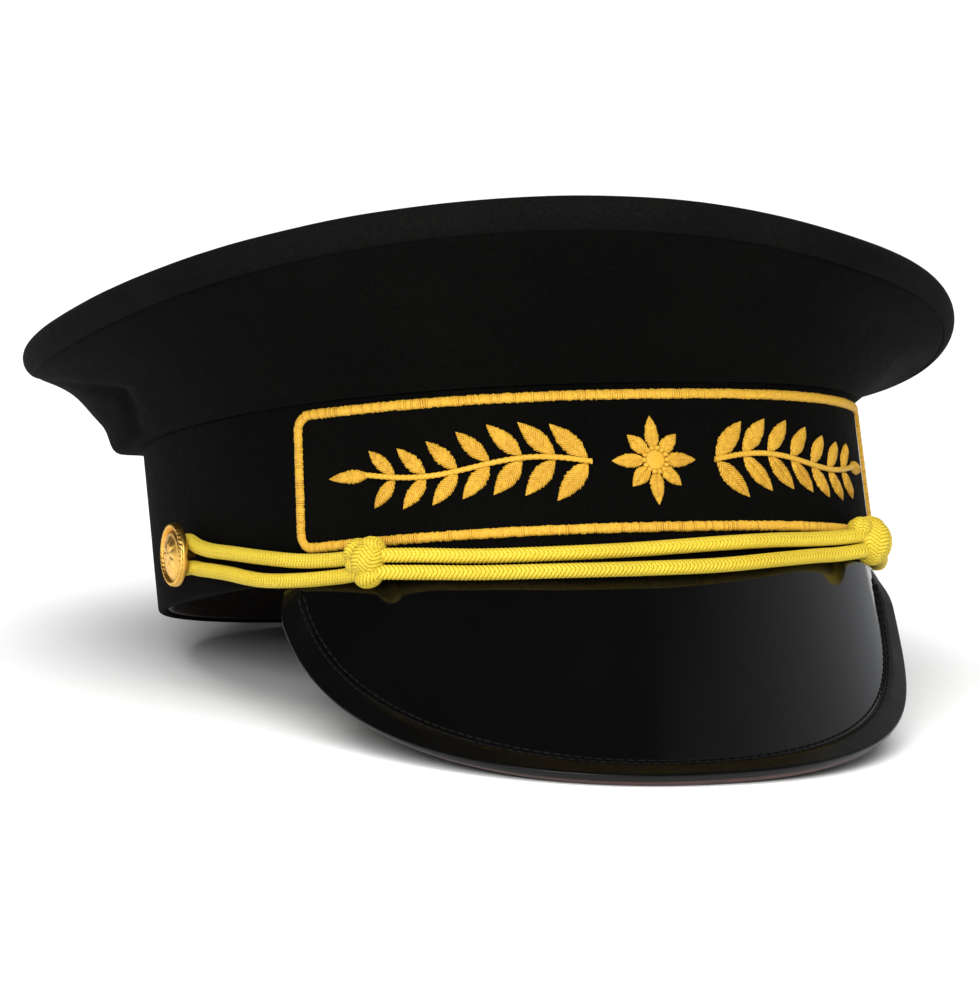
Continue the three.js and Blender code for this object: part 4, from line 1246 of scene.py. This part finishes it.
def make_stage():
    mesh = bpy.data.meshes.new("floor")
    size = 14.0
    corners = [(-size, -size, 0), (size, -size, 0), (size, size, 0), (-size, size, 0)]
    mesh.from_pydata(corners, [], [(0, 1, 2, 3)])
    floor = show("floor", mesh)
    paint = Paint("floor_paper", Specular_IOR_Level=0.1)
    paint.color(paint.ramp(paint.noise(3, 2), [(0.3, (0.9, 0.9, 0.895)), (0.7, (0.93, 0.93, 0.925))]))
    paint.rough(paint.noise(40), 0.85, 0.95)
    mesh.materials.append(paint.material)


def area(name, where, aim, size, power):
    data = bpy.data.lights.new(name, "AREA")
    data.shape = "RECTANGLE"
    data.size, data.size_y = size
    data.energy = power
    light = show(name, data)
    light.location = where
    light.rotation_mode = "QUATERNION"
    light.rotation_quaternion = (Vector(aim) - Vector(where)).to_track_quat("-Z", "Y")
    return light


def direction(azimuth, elevation):
    """A direction in the row frame, by degrees from the front towards the wearer's left, and upward."""
    a, e = math.radians(azimuth), math.radians(elevation)
    return Vector((math.sin(a) * math.cos(e), -math.cos(a) * math.cos(e), math.sin(e)))


def make_world():
    """Dim surroundings that brighten smoothly towards a low white wall at the wearer's left."""
    world = bpy.data.worlds.new("studio")
    world.use_nodes = True
    nodes, links = world.node_tree.nodes, world.node_tree.links
    where = nodes.new("ShaderNodeTexCoord")
    towards = nodes.new("ShaderNodeVectorMath")
    towards.operation = "DOT_PRODUCT"
    towards.inputs[1].default_value = direction(115, 5)
    links.new(where.outputs["Generated"], towards.inputs[0])
    span = nodes.new("ShaderNodeMapRange")
    set_inputs(span, From_Min=0.2, From_Max=1.0, To_Min=0.02, To_Max=0.42)
    links.new(towards.outputs["Value"], span.inputs["Value"])
    set_inputs(nodes["Background"], Color=(0.95, 0.97, 1, 1))
    links.new(span.outputs["Result"], nodes["Background"].inputs["Strength"])
    bpy.context.scene.world = world


def make_lights():
    sun = bpy.data.lights.new("overhead", "SUN")
    sun.energy = 3.5
    sun.angle = math.radians(75)
    light = show("overhead", sun)
    light.rotation_mode = "QUATERNION"
    light.rotation_quaternion = direction(-25, 77).to_track_quat("Z", "Y")
    light.visible_glossy = False
    area("front_right_of_wearer", direction(-38, 22) * 1.6, (0, -0.02, 0.05), (0.7, 0.5), 12)
    front = area("front", direction(-15, 24) * 2.2, (0, -0.02, 0.05), (1.4, 1.0), 26)
    front.visible_glossy = False


make_band()
make_sweatband()
make_crown_wall()
make_crown_cover()
make_peak()
make_binding()
make_peak_stitches()
make_border()
make_rosette()
make_sprig(-1, "sprig_right", "motif_right")
make_sprig(1, "sprig_left", "motif_left")
make_cord("braid_upper", UPPER_ROUTE, UPPER_END, "cord_upper")
make_cord("braid_lower", LOWER_ROUTE, LOWER_END, "cord_lower")
make_knot("tied_knot_right", RIGHT_KNOT, "knot_right", RIGHT_LOBES)
make_knot("tied_knot_left", LEFT_KNOT, "knot_left", LEFT_LOBES)
make_button("gilt_button_right", -BUTTON_ARC, "button_right")
make_button("gilt_button_left", BUTTON_ARC, "button_left")
make_stage()
make_world()
make_lights()
bpy.context.scene.view_settings.view_transform = "Standard"
